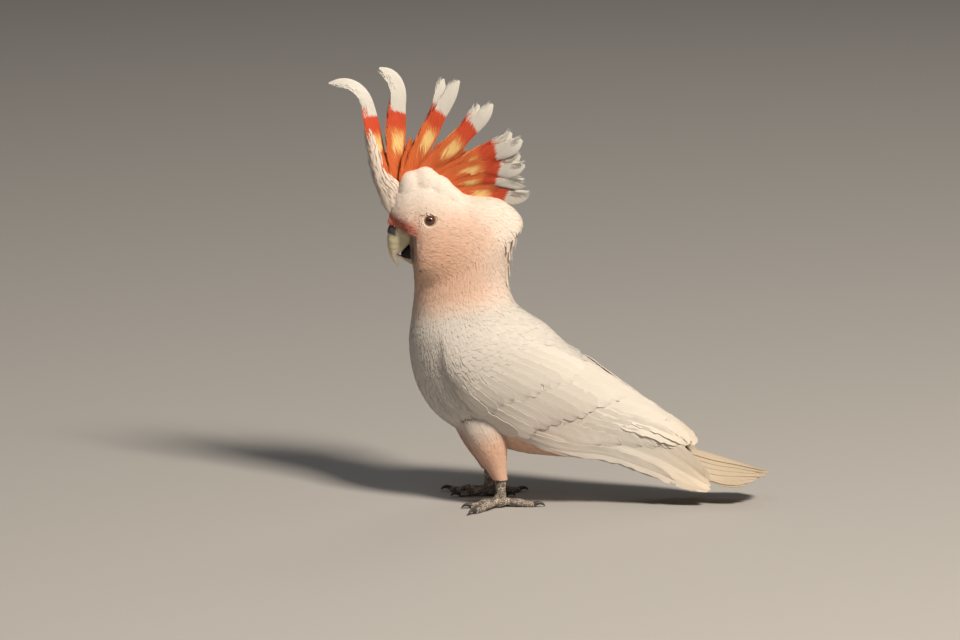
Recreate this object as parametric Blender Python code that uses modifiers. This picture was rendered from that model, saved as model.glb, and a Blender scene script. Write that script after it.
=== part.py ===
"""A pink cockatoo (Major Mitchell's cockatoo), life size, standing on level ground with its crest raised.

The bird faces -X, its left side is towards -Y and +Z is up. Sizes are in millimetres and become metres where a
mesh is made. Until the last step, x = 0 is above the left ankle, y = 0 is the plane between the two sides and
z = 0 is the ground. At the end everything is moved so that the origin is the middle of the foot of its box.
"""

import math
from typing import NamedTuple

import bmesh
import bpy
import numpy as np
from mathutils import Vector

MM = 0.001
GAP = 0.35  # clearance between neighbouring solids
COLOURS = {  # material name: (colour, roughness)
    "pink_plumage": ((0.86, 0.60, 0.52), 0.8),
    "white_plumage": ((0.88, 0.84, 0.78), 0.75),
    "crest_plumage": ((0.85, 0.25, 0.08), 0.7),
    "horn": ((0.72, 0.70, 0.55), 0.4),
    "leg_skin": ((0.42, 0.40, 0.38), 0.7),
    "claw": ((0.07, 0.065, 0.06), 0.4),
    "eye": ((0.12, 0.04, 0.025), 0.1),
    "tongue": ((0.10, 0.08, 0.08), 0.6),
}


class Section(NamedTuple):
    """One cross-section of the body: a slanting plane through a belly point and a back point."""

    name: str
    belly: tuple  # (x, z)
    back: tuple  # (x, z)
    half_width: float
    widest: float  # 0 is half way, + is nearer the back, - nearer the belly


BODY = (
    Section("cere", (-72.2, 219.8), (-90.6, 232.3), 7.5, 0.0),
    Section("lores", (-71.1, 209.8), (-90.2, 241.5), 9.5, 0.0),
    Section("forehead", (-70.9, 201.5), (-87.3, 250.6), 13.0, -0.1),
    Section("brow", (-70.8, 196.5), (-83.2, 261.5), 17.0, -0.2),
    Section("front of crown", (-70.7, 193.6), (-77.0, 271.8), 20.0, -0.25),
    Section("eyes", (-70.5, 191.1), (-62.5, 276.4), 23.0, -0.3),
    Section("crown", (-70.4, 188.6), (-45.0, 271.2), 26.5, -0.33),
    Section("back of crown", (-70.2, 185.7), (-24.0, 262.6), 29.0, -0.28),
    Section("cheeks", (-70.0, 182.8), (-1.5, 252.8), 30.5, -0.2),
    Section("nape", (-70.0, 179.4), (13.9, 234.4), 30.5, -0.1),
    Section("below the nape", (-70.2, 175.3), (13.1, 218.1), 30.0, 0.0),
    Section("throat", (-70.7, 169.0), (8.2, 199.8), 29.5, 0.0),
    Section("neck", (-71.8, 159.9), (7.0, 183.2), 30.0, 0.0),
    Section("foot of neck", (-73.1, 141.5), (11.5, 168.2), 33.0, 0.0),
    Section("shoulders", (-73.0, 116.6), (21.3, 158.2), 38.0, 0.0),
    Section("breast", (-65.6, 92.4), (37.0, 148.6), 41.0, 0.0),
    Section("keel", (-49.2, 70.8), (54.0, 132.6), 42.0, 0.0),
    Section("belly", (-20.5, 54.5), (73.6, 116.6), 39.5, 0.0),
    Section("loins", (12.3, 43.0), (93.3, 100.3), 35.0, 0.0),
    Section("rump", (46.7, 38.5), (111.6, 86.2), 30.0, 0.0),
    Section("root of tail", (82.0, 36.0), (128.8, 73.8), 25.5, 0.1),
    Section("middle of folded wing", (119.0, 26.5), (143.6, 64.0), 22.5, 0.2),
    Section("end of folded wing", (157.5, 12.5), (159.0, 53.5), 21.5, 0.25),
    Section("tip of longest quill", (173.0, 9.5), (173.5, 41.0), 20.5, 0.3),
)
STATION = {section.name: number for number, section in enumerate(BODY)}
TABLE = np.array([(*s.belly, *s.back, s.half_width, s.widest) for s in BODY], float)
SQUARENESS = 2.15  # 2 is an ellipse
BODY_SIDES = 24
HEAD_END, NECK_END = 11.0, 13.4
TRUNK_END, TAPER_START, TAPER_DEPTH = 20.0, 17.0, 13.0

EYE_CENTRE, EYE_RADIUS = (-57.4, 19.6, 238.5), 5.4  # y is the distance out from the middle

# Bills: (upper or outer edge, lower or inner edge, half width) from the root to the tip.
UPPER_BILL = (
    ((-88.5, 233.5), (-69.5, 222.0), 8.2),
    ((-91.2, 227.0), (-71.6, 218.6), 8.4),
    ((-93.0, 218.0), (-76.2, 213.2), 7.8),
    ((-92.6, 210.6), (-80.6, 209.2), 6.4),
    ((-90.2, 203.8), (-83.6, 205.4), 4.4),
    ((-87.2, 199.0), (-84.4, 201.2), 2.4),
    ((-83.4, 195.6), (-82.8, 196.4), 0.7),
)
LOWER_BILL = (
    ((-66.5, 208.6), (-66.5, 197.0), 7.0),
    ((-71.8, 206.6), (-71.6, 197.0), 7.0),
    ((-77.4, 205.0), (-76.6, 199.4), 6.2),
    ((-81.6, 204.0), (-81.0, 201.8), 4.6),
    ((-83.6, 203.6), (-83.4, 203.0), 3.4),
)
TONGUE = (((-66.5, 212.4), (-66.5, 208.9), 3.6), ((-73.0, 211.0), (-73.0, 207.4), 3.4),
          ((-78.2, 208.4), (-78.0, 205.6), 2.4), ((-79.6, 207.0), (-79.4, 206.2), 1.2))

# Crest: a fan of folded feathers rooted along the crown, the foremost curled forwards.
# Each: root (x, z), length, depth seen from the side, and lean from upright (+ towards the bill) at CREST_MARKS.
CREST = (
    ((-87.0, 251.5), 124.0, 11.5, (15.0, 14.0, 17.0, 44.0, 88.0, 104.0)),
    ((-83.0, 253.0), 118.0, 13.5, (4.0, 0.0, -4.0, 4.0, 34.0, 62.0)),
    ((-78.5, 256.5), 106.0, 13.5, (-21.0, -26.0, -27.5, -26.0, -12.0, 2.0)),
    ((-73.5, 259.0), 99.0, 13.0, (-41.0, -43.5, -42.0, -41.0, -34.0, -26.0)),
    ((-68.5, 260.0), 97.0, 12.0, (-57.0, -61.0, -63.5, -64.0, -55.0, -48.0)),
    ((-63.5, 258.5), 91.0, 11.0, (-70.0, -73.0, -75.5, -76.0, -68.0, -60.0)),
    ((-58.5, 256.5), 86.0, 10.5, (-79.0, -82.0, -87.0, -90.0, -88.0, -84.0)),
    ((-53.5, 254.5), 84.0, 10.5, (-86.0, -92.0, -97.0, -100.0, -94.0, -86.0)),
)
CREST_MARKS = (0.0, 0.35, 0.6, 0.77, 0.92, 1.0)
CREST_SPREAD = 5.6  # half the width across
CREST_OUTLINE = ((0.0, 0.42), (0.3, 0.8), (0.6, 1.0), (0.82, 0.95), (0.94, 0.62), (1.0, 0.2))
BLADE = 0.9

# Folded wings, as bands of the body form: station, lowest angle and highest angle round from the back.
WING_FRONT, WING_END = 13.5, 23.0
WING_LOWER = ((13.5, 112), (14.5, 122), (16, 124), (18, 131), (20, 141), (21.5, 155), (23.0, 158))
WING_UPPER = ((13.5, 84), (14.5, 58), (16, 34), (18, 16), (20, 9), (21.5, 10), (23.0, 74))
WING_CLEARANCE = 1.0
WING_THICKNESS, WING_EDGE = 5.0, 1.0
WING_FULLNESS = 0.86  # 1 thins the upper edge as much as the lower one
WING_COVERTS_END = 16.9
WING_QUILL_LINE = 0.46  # where the outer quills part from the inner ones, as a share of the band from its lower edge

# Tail: a shallow roof, narrow between the wings and spread behind them.
TAIL_ROOT, TAIL_TIP = (101.0, 57.0), (220.5, 25.2)
TAIL_HALF_WIDTHS = (10.0, 12.5, 14.5, 16.0, 18.5, 22.5, 25.0)
TAIL_SAG = 0.3  # drop at the sides, as a share of the half width
TAIL_ROUNDING = 24.0  # how far the outermost feathers end before the middle ones
TAIL_THICKNESS = 3.2

# Legs. Lateral distances are out from the middle; a foot's turn is outwards from straight ahead.
LEGS = {"left": (-1, 0.0, 24.0, 30.0), "right": (1, -9.0, 24.0, 2.0)}  # side, ankle x, ankle y, turn
ANKLE_HEIGHT, FOOT_HEIGHT = 22.5, 7.5
THIGH = ((-13.0, 78.0, 21.0), (-10.5, 62.0, 17.5), (-7.5, 48.0, 13.6), (-3.5, 34.0, 9.0), (0.0, 23.2, 6.2))
THIGH_SIDES = 12
TARSUS = ((0.0, 22.6, 5.0), (0.4, 17.0, 4.6), (0.6, 12.0, 4.5), (0.4, 8.6, 5.4), (0.0, 5.4, 6.8), (0.0, 2.6, 6.6),
          (0.0, 0.9, 5.4))
TOES = {  # name: (bearing from ahead, outwards; length; claw length; radius)
    "toe1": (-166.0, 16.0, 9.5, 3.0),
    "toe2": (-16.0, 25.0, 10.5, 3.2),
    "toe3": (24.0, 35.0, 12.5, 3.4),
    "toe4": (150.0, 29.0, 11.0, 3.2),
}
TOE_START = 6.6  # where a toe's solid begins, out from the middle of the foot
SOLE_SINK = 0.5  # how much the ground flattens a toe pad


def smooth(rows, t):
    """Catmull-Rom curve through rows, read at the row numbers t."""
    rows = np.asarray(rows, float)
    last = len(rows) - 1
    t = np.clip(np.asarray(t, float), 0, last)
    i = np.minimum(t.astype(int), last - 1)
    f = (t - i).reshape(t.shape + (1,) * (rows.ndim - 1))
    a, b, c, d = (rows[np.clip(i + k, 0, last)] for k in (-1, 0, 1, 2))
    return 0.5 * (2 * b + (c - a) * f + (2 * a - 5 * b + 4 * c - d) * f**2 + (3 * (b - c) + d - a) * f**3)


def body_form(stations, degrees, grow=0.0):
    """Points of the body form at each station and each angle round from the back by the left side, in mm.

    A section is a rounded oval between its belly point and its back point; grow moves it outwards.
    """
    row = smooth(TABLE, np.asarray(stations, float))[..., None]
    belly_x, belly_z, back_x, back_z, half_width, widest = (row[..., k, :] for k in range(6))
    grow = np.asarray(grow, float)
    angle = np.radians(degrees)
    along, across = np.cos(angle), np.sin(angle)
    along = np.sign(along) * np.abs(along) ** (2 / SQUARENESS)
    across = np.sign(across) * np.abs(across) ** (2 / SQUARENESS)
    reach = along + widest * (1 - along**2)
    half_x, half_z = (back_x - belly_x) / 2, (back_z - belly_z) / 2
    bigger = 1 + grow / np.hypot(half_x, half_z)
    x = (belly_x + back_x) / 2 + half_x * reach * bigger
    z = (belly_z + back_z) / 2 + half_z * reach * bigger
    y = -(half_width + grow) * across
    return np.stack(np.broadcast_arrays(x, y, z), axis=-1)


def material(name):
    """The named Principled material, made once."""
    found = bpy.data.materials.get(name)
    if found:
        return found
    colour, roughness = COLOURS[name]
    made = bpy.data.materials.new(name)
    made.use_nodes = True
    shader = made.node_tree.nodes["Principled BSDF"]
    shader.inputs["Base Color"].default_value = (*colour, 1.0)
    shader.inputs["Roughness"].default_value = roughness
    shader.inputs["Metallic"].default_value = 0.0
    return made


def collection(name, hidden=False):
    """The named collection, made once; a hidden one holds cutters."""
    found = bpy.data.collections.get(name)
    if not found:
        found = bpy.data.collections.new(name)
        found.hide_render = hidden
        bpy.context.scene.collection.children.link(found)
    return found


def add_mesh(name, points, faces, finish):
    """A smooth mesh object of these points, in mm, and faces, with its normals pointing out."""
    mesh = bpy.data.meshes.new(name)
    mesh.from_pydata((np.asarray(points).reshape(-1, 3) * MM).tolist(), [], faces)
    made = bmesh.new()
    made.from_mesh(mesh)
    bmesh.ops.recalc_face_normals(made, faces=made.faces)
    made.to_mesh(mesh)
    made.free()
    mesh.shade_smooth()
    mesh.set_sharp_from_angle(angle=math.radians(50))
    mesh.materials.append(material(finish))
    added = bpy.data.objects.new(name, mesh)
    collection("cockatoo").objects.link(added)
    return added


def grid_faces(rows, columns, ring=False):
    """Quads of a grid of rows by columns points, joined round each row if ring."""
    last = columns if ring else columns - 1
    return [(r * columns + c, r * columns + (c + 1) % columns,
             (r + 1) * columns + (c + 1) % columns, (r + 1) * columns + c)
            for r in range(rows - 1) for c in range(last)]


def add_loft(name, rings, finish):
    """A closed solid through rings of points, each end closed by a flat face."""
    rings = np.asarray(rings, float)
    count, sides = rings.shape[:2]
    ends = [tuple(range(sides)), tuple((count - 1) * sides + k for k in range(sides))]
    return add_mesh(name, rings, grid_faces(count, sides, ring=True) + ends, finish)


def add_slab(name, outer, inner, finish):
    """A closed solid between two facing grids of points."""
    outer, inner = np.asarray(outer, float), np.asarray(inner, float)
    rows, columns = outer.shape[:2]
    far = rows * columns
    sheet = grid_faces(rows, columns)
    edge = ([c for c in range(columns)] + [r * columns + columns - 1 for r in range(1, rows)]
            + [(rows - 1) * columns + c for c in range(columns - 2, -1, -1)]
            + [r * columns for r in range(rows - 2, 0, -1)])
    rim = [(a, b, b + far, a + far) for a, b in zip(edge, edge[1:] + edge[:1])]
    back = [tuple(far + k for k in reversed(face)) for face in sheet]
    return add_mesh(name, np.concatenate([outer.reshape(-1, 3), inner.reshape(-1, 3)]), sheet + back + rim, finish)


def body_rings(first, last, step, grow=0.0):
    """Rings of the body form from one station to another; grow moves the skin and both ends outwards."""
    stations = np.linspace(first, last, max(2, round((last - first) / step) + 1))
    degrees = np.arange(BODY_SIDES) * 360 / BODY_SIDES
    taper = np.clip((stations - TAPER_START) / (TRUNK_END - TAPER_START), 0, 1)
    inset = -TAPER_DEPTH * taper**2
    rings = body_form(stations, degrees, (inset + grow)[:, None])
    quarter = BODY_SIDES // 4
    for end, inner in ((0, 1), (-1, -2)):
        ring = rings[end].copy()
        out = np.cross(ring[0] - ring[2 * quarter], ring[quarter] - ring[3 * quarter])
        out *= math.copysign(grow, (ring[0] - rings[inner][0]) @ out) / np.linalg.norm(out)
        rings[end] += out
    return rings


def as_cutter(made):
    """Hides a solid that only cuts others."""
    move_to("cutters", made)
    made.hide_render = True
    made.display_type = "WIRE"
    return made


def cutter(name, rings):
    """A hidden solid through rings, for Booleans."""
    return as_cutter(add_loft(name, rings, "horn"))


def cut(target, tool):
    """Takes tool away from target."""
    change = target.modifiers.new("cut_" + tool.name, "BOOLEAN")
    change.operation = "DIFFERENCE"
    change.solver = "EXACT"
    change.object = tool


def make_body():
    """Head, neck and trunk, parted by thin cuts across the body form, and a slightly larger cutter of each."""
    spans = (("head", 0.0, HEAD_END - 0.05, 0.55, "pink_plumage"),
             ("neck", HEAD_END + 0.05, NECK_END - 0.03, 0.78, "pink_plumage"),
             ("trunk", NECK_END + 0.03, TRUNK_END, 0.55, "pink_plumage"))
    nodes = {name: add_loft(name, body_rings(first, last, step), finish)
             for name, first, last, step, finish in spans}
    tools = {"head": cutter("around_head", body_rings(0.0, HEAD_END, 0.55, GAP)),
             "face": cutter("around_face", body_rings(0.0, 9.0, 0.55, GAP) - (2 * GAP, 0, 0)),
             "trunk": cutter("around_trunk", body_rings(NECK_END, TRUNK_END, 0.55, GAP))}
    return nodes, tools


def make_eyes(head):
    """Two balls, each in a socket cut in the head."""
    for side, name in ((-1, "left"), (1, "right")):
        place = Vector((EYE_CENTRE[0], side * EYE_CENTRE[1], EYE_CENTRE[2])) * MM
        bpy.ops.mesh.primitive_uv_sphere_add(segments=14, ring_count=9, radius=EYE_RADIUS * MM, location=place)
        ball = bpy.context.object
        ball.name = f"eye_{name}"
        ball.data.shade_smooth()
        ball.data.materials.append(material("eye"))
        move_to("cockatoo", ball)
        bpy.ops.mesh.primitive_uv_sphere_add(segments=14, ring_count=9, radius=(EYE_RADIUS + GAP) * MM,
                                             location=place)
        socket = bpy.context.object
        socket.name = f"socket_{name}"
        cut(head, as_cutter(socket))


def move_to(name, moved):
    """Puts an object in one collection only."""
    for holder in list(moved.users_collection):
        holder.objects.unlink(moved)
    collection(name, hidden=name == "cutters").objects.link(moved)


def horn_rings(stations, sides, count):
    """Oval rings through (outer edge, inner edge, half width) stations."""
    rows = smooth([(*outer, *inner, width) for outer, inner, width in stations],
                  np.linspace(0, len(stations) - 1, count))
    angle = np.arange(sides) * 2 * math.pi / sides
    along, across = np.cos(angle), np.sin(angle)
    x = (rows[:, :1] + rows[:, 2:3]) / 2 + (rows[:, :1] - rows[:, 2:3]) / 2 * along
    z = (rows[:, 1:2] + rows[:, 3:4]) / 2 + (rows[:, 1:2] - rows[:, 3:4]) / 2 * along
    return np.stack([x, rows[:, 4:5] * across, z], axis=-1)


def make_bill(around_face):
    """The hooked upper bill, the scoop of the lower bill below it and the tongue between them."""
    for name, stations, sides, count, finish in (("bill_upper", UPPER_BILL, 14, 13, "horn"),
                                                 ("bill_lower", LOWER_BILL, 12, 8, "horn"),
                                                 ("tongue", TONGUE, 10, 6, "tongue")):
        cut(add_loft(name, horn_rings(stations, sides, count), finish), around_face)


def crest_feather(root, length, leans):
    """(path points, forward normals, share of the full width) along one crest feather, seen from the side."""
    t = np.linspace(0, 1, 11)
    heading = np.radians(np.interp(t, CREST_MARKS, leans))
    steps = np.stack([-np.sin(heading), np.cos(heading)], axis=-1) * length / (len(t) - 1)
    path = np.array(root) + np.concatenate([[[0, 0]], np.cumsum((steps[1:] + steps[:-1]) / 2, axis=0)])
    normal = np.stack([-np.cos(heading), -np.sin(heading)], axis=-1)
    return path, normal, np.interp(t, *zip(*CREST_OUTLINE))


def make_crest(around_head):
    """The crest feathers, each folded along its shaft into a trough that is open towards the bill."""
    across = np.linspace(-1, 1, 5)
    for number, (root, length, depth, leans) in enumerate(CREST, start=1):
        path, normal, width = crest_feather(root, length, leans)
        fold = depth * width[:, None] * (np.abs(across) ** 1.2 - 0.5)
        sheet = np.stack([path[:, :1] + normal[:, :1] * fold,
                          CREST_SPREAD * width[:, None] * across,
                          path[:, 1:] + normal[:, 1:] * fold], axis=-1)
        vane = add_mesh(f"crest_feather_{number}", sheet, grid_faces(*sheet.shape[:2]), "crest_plumage")
        thick = vane.modifiers.new("vane", "SOLIDIFY")
        thick.thickness = BLADE * MM
        thick.offset = 0.0
        cut(vane, around_head)


def wing_grid(first, last, low, high, height, rows, columns):
    """Points over the left side of the body: low and high are shares of the wing's band, from its lower edge."""
    stations = np.linspace(first, last, rows)
    lower = np.interp(stations, *zip(*WING_LOWER))
    upper = np.interp(stations, *zip(*WING_UPPER))
    share = np.linspace(low, high, columns)
    degrees = lower[:, None] + (upper - lower)[:, None] * share
    over = np.clip(4 * share * WING_FULLNESS * (1 - share * WING_FULLNESS), 0, 1)
    along = np.clip((WING_END - stations) / (WING_END - 15.5), 0, 1) * np.clip((stations - 12.6) / 2.2, 0, 1)
    swell = (WING_THICKNESS - WING_EDGE) * over[None, :] ** 0.6 * along[:, None] ** 0.7
    return body_form(stations, degrees, WING_CLEARANCE + height * (WING_EDGE + swell))


def make_wings():
    """Each folded wing in three pieces: the coverts over the shoulder, the inner quills and the outer quills."""
    cut_s, cut_t = 0.02, 0.008
    pieces = (("coverts", WING_FRONT, WING_COVERTS_END - cut_s, 0.0, 1.0, 8, 9),
              ("inner_quills", WING_COVERTS_END + cut_s, WING_END - 0.55, WING_QUILL_LINE + cut_t, 1.0, 10, 6),
              ("outer_quills", WING_COVERTS_END + cut_s, WING_END, 0.0, WING_QUILL_LINE - cut_t, 10, 5))
    over = {}
    for side, word in ((1, "left"), (-1, "right")):
        for name, first, last, low, high, rows, columns in pieces:
            grids = [wing_grid(first, last, low, high, height, rows, columns) * (1, side, 1) for height in (1, 0)]
            add_slab(f"wing_{word}_{name}", *grids, "white_plumage")
        grids = [wing_grid(WING_FRONT - 0.1, WING_END, -0.03, 1.0, height, 14, 9) * (1, side, 1)
                 for height in (6, -GAP)]
        over[word] = as_cutter(add_slab(f"over_{word}_wing", *grids, "horn"))
    return over


def make_tail(around_trunk):
    """The fan of tail feathers as one thin roof with a rounded end."""
    along, across = np.linspace(0, 1, 10), np.linspace(-1, 1, 9)
    half = smooth(np.array(TAIL_HALF_WIDTHS), along * (len(TAIL_HALF_WIDTHS) - 1))[:, None]
    reach = TAIL_TIP[0] - TAIL_ROOT[0] - TAIL_ROUNDING * (across**2)[None, :]
    x = TAIL_ROOT[0] + along[:, None] * reach
    slope = (TAIL_TIP[1] - TAIL_ROOT[1]) / (TAIL_TIP[0] - TAIL_ROOT[0])
    z = TAIL_ROOT[1] + (x - TAIL_ROOT[0]) * slope - TAIL_SAG * half * across**2
    top = np.stack(np.broadcast_arrays(x, half * across, z), axis=-1)
    thickness = TAIL_THICKNESS * np.interp(along, (0, 0.6, 1), (1, 0.8, 0.35))
    under = top - np.stack([thickness * 0, thickness * 0, thickness], axis=-1)[:, None, :]
    cut(add_slab("tail", top, under, "white_plumage"), around_trunk)


def limb_rings(path, radii, sides, flatten=1.0):
    """Rings round a path of points, each at right angles to it; flatten squeezes them from above."""
    path, radii = np.asarray(path, float), np.asarray(radii, float)
    ahead = np.gradient(path, axis=0)
    ahead /= np.linalg.norm(ahead, axis=1)[:, None]
    side = np.cross(ahead, (0, 0, 1)) if abs(ahead[0, 2]) < 0.9 else np.tile((0.0, 1.0, 0.0), (len(path), 1))
    side /= np.linalg.norm(side, axis=1)[:, None]
    over = np.cross(side, ahead) * flatten
    angle = np.arange(sides) * 2 * math.pi / sides
    ring = np.cos(angle)[None, :, None] * side[:, None, :] + np.sin(angle)[None, :, None] * over[:, None, :]
    return path[:, None, :] + ring * radii[:, None, None]


def make_toe(leg, name, ankle, turn, side, around_shank):
    """One toe with its pads, and the curved claw at its end. Both are flat where they meet the ground."""
    bearing, length, claw, radius = TOES[name]
    heading = math.radians(bearing + turn)
    ahead = np.array([-math.cos(heading), side * math.sin(heading), 0.0])
    middle = np.array([ankle[0], ankle[1], 0.0])
    t = np.linspace(0, 1, 8)
    out = TOE_START + t * (length - TOE_START)
    pads = 1 + 0.13 * np.cos(t * 4 * math.pi)
    thick = radius * pads * np.interp(t, (0, 0.25, 0.8, 1), (0.56, 1.0, 0.86, 0.62))
    arch = radius * 0.9 * (1 - t) ** 1.6
    path = middle + out[:, None] * ahead + np.stack([t * 0, t * 0, thick - SOLE_SINK + arch], axis=-1)
    rings = limb_rings(path, thick, 9)
    rings[..., 2] = np.maximum(rings[..., 2], 0.0)
    cut(add_loft(f"{leg}_{name}", rings, "leg_skin"), around_shank)
    bend = np.linspace(0, 1, 6)
    droop = np.radians(18 - 82 * bend)
    steps = (np.cos(droop)[:, None] * ahead + np.sin(droop)[:, None] * (0, 0, 1)) * claw / 5
    tip = path[-1] + (0, 0, 0.4) + ahead * GAP * 1.8
    line = tip + np.concatenate([np.zeros((1, 3)), np.cumsum((steps[1:] + steps[:-1]) / 2, axis=0)])
    line[:, 2] += np.linspace(0, max(0.0, 0.9 - line[-1, 2]), 6)
    rings = limb_rings(line, 1.9 * (1 - bend) ** 0.7 + 0.35, 8)
    rings[0] -= ((rings[0] - tip) @ ahead)[:, None] * ahead
    rings[..., 2] = np.maximum(rings[..., 2], 0.0)
    add_loft(f"{leg}_{name}_claw", rings, "claw")


def make_legs(around_trunk, over_wings):
    """Feathered thighs, bare tarsi, and four toes on each foot: two ahead and two behind."""
    for leg, (side, ankle_x, ankle_y, turn) in LEGS.items():
        angle = np.arange(THIGH_SIDES) * 2 * math.pi / THIGH_SIDES
        rows = smooth(THIGH, np.linspace(0, len(THIGH) - 1, 9))
        squeeze = np.interp(rows[:, 1], (23, 50, 78), (1.0, 0.85, 0.55))[:, None]
        rings = np.stack(np.broadcast_arrays(
            ankle_x + rows[:, :1] + rows[:, 2:] * np.cos(angle),
            side * ankle_y + rows[:, 2:] * squeeze * np.sin(angle),
            rows[:, 1:2] + rows[:, 2:] * 0.25 * np.cos(angle) * np.interp(rows[:, 1:2], (23, 40), (0, 1))), axis=-1)
        thigh = add_loft(f"{leg}_thigh", rings, "pink_plumage")
        cut(thigh, around_trunk)
        cut(thigh, over_wings[leg])
        shank = np.array(TARSUS)
        path = np.stack([ankle_x + shank[:, 0], np.full(len(shank), side * ankle_y), shank[:, 1]], axis=-1)
        add_loft(f"{leg}_tarsus", limb_rings(path, shank[:, 2], 14), "leg_skin")
        around_shank = cutter(f"around_{leg}_tarsus", limb_rings(path, shank[:, 2] + GAP, 14))
        for name in TOES:
            make_toe(leg, name, (ankle_x, side * ankle_y), turn, side, around_shank)


def stand_at_origin():
    """Moves every solid and cutter so that the box round the solids has the middle of its foot at the origin."""
    bpy.context.view_layer.update()
    graph = bpy.context.evaluated_depsgraph_get()
    corners = [solid.matrix_world @ Vector(corner)
               for solid in collection("cockatoo").objects
               for corner in solid.evaluated_get(graph).bound_box]
    low = Vector(map(min, zip(*corners)))
    high = Vector(map(max, zip(*corners)))
    shift = Vector((-(low.x + high.x) / 2, -(low.y + high.y) / 2, -low.z))
    for moved in [*collection("cockatoo").objects, *collection("cutters").objects]:
        moved.location += shift


def main():
    for old in list(bpy.data.objects):
        bpy.data.objects.remove(old)
    nodes, tools = make_body()
    make_eyes(nodes["head"])
    make_bill(tools["face"])
    make_crest(tools["head"])
    over_wings = make_wings()
    make_tail(tools["trunk"])
    make_legs(tools["trunk"], over_wings)
    stand_at_origin()


main()
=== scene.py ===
import logging
import math
from dataclasses import dataclass, field
from enum import Enum
from typing import NamedTuple

import bpy
import numpy as np
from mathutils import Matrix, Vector


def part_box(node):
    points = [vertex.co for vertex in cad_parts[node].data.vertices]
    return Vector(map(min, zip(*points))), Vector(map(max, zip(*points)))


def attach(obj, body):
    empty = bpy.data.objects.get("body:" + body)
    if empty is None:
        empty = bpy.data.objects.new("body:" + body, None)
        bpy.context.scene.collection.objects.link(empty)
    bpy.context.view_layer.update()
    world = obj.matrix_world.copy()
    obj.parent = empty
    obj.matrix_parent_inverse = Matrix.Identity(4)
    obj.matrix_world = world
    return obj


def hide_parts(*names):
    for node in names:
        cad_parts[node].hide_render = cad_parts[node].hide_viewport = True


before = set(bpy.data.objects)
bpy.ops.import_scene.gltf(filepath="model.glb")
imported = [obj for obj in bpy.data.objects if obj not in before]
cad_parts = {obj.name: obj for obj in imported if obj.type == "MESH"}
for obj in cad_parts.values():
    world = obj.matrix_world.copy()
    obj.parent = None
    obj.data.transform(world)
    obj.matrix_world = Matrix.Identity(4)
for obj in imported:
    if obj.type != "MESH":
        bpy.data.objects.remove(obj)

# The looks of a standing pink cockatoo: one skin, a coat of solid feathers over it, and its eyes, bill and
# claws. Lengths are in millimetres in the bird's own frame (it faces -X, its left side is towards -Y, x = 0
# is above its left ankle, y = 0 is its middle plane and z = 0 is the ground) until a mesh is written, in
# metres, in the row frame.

Array = np.ndarray
Rng = np.random.Generator
Material = bpy.types.Material
Object = bpy.types.Object
Mesh = bpy.types.Mesh
Socket = bpy.types.NodeSocket
LOG = logging.getLogger("cockatoo")
MM = 0.001
SHARP = math.radians(48)  # an edge that turns more than this is drawn sharp
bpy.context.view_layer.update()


# -------------------------------------------------------------------------------- curves and meshes


def smooth(rows: Array, t: Array) -> Array:
    """A Catmull-Rom curve through rows.

    Args:
        rows: The points that the curve passes, first axis.
        t: Where to read it, counted in rows.

    Returns:
        One row of values for each t.
    """
    rows = np.asarray(rows, float)
    last = len(rows) - 1
    t = np.clip(np.asarray(t, float), 0, last)
    i = np.minimum(t.astype(int), last - 1)
    f = (t - i).reshape(t.shape + (1,) * (rows.ndim - 1))
    a, b, c, d = (rows[np.clip(i + k, 0, last)] for k in (-1, 0, 1, 2))
    return 0.5 * (2 * b + (c - a) * f + (2 * a - 5 * b + 4 * c - d) * f**2 + (3 * (b - c) + d - a) * f**3)


def eased(pairs: tuple, x: Array, softness: float = 0.35) -> Array:
    """Values between (x, value) pairs, joined by straight lines whose corners are then rounded.

    Args:
        pairs: The (x, value) pairs, in order.
        x: Where to read them.
        softness: How far along x a corner is rounded.

    Returns:
        The value at each x.
    """
    at, value = np.array(pairs, float).T
    fine = np.linspace(at[0] - 3 * softness, at[-1] + 3 * softness, 600)
    step = fine[1] - fine[0]
    reach = np.arange(-int(2.5 * softness / step) - 1, int(2.5 * softness / step) + 2) * step
    bell = np.exp(-0.5 * (reach / softness) ** 2)
    line = np.interp(fine, at, value)
    padded = np.pad(line, len(reach) // 2, mode="edge")
    return np.interp(x, fine, np.convolve(padded, bell / bell.sum(), mode="valid"))


def unit(vectors: Array) -> Array:
    """Vectors of length 1 along the last axis."""
    return vectors / np.maximum(np.linalg.norm(vectors, axis=-1, keepdims=True), 1e-9)


def summed(steps: Array) -> Array:
    """The way gone at each of a row of places, from the step at each."""
    return np.concatenate([np.zeros((1, steps.shape[1])), np.cumsum((steps[1:] + steps[:-1]) / 2, axis=0)])


def xyz(x: Array, y: Array, z: Array) -> Array:
    """Points from their three coordinates."""
    return np.stack(np.broadcast_arrays(x, y, z), axis=-1)


def bump(x: Array, centre: float, width: float) -> Array:
    """A bell of height 1 about centre, with that standard width."""
    return np.exp(-0.5 * ((x - centre) / width) ** 2)


def step_up(x: Array, low: float, high: float) -> Array:
    """0 below low, 1 above high and a smooth rise between; falls instead where high is less than low."""
    t = np.clip((np.asarray(x, float) - low) / (high - low), 0, 1)
    return t * t * (3 - 2 * t)


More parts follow.
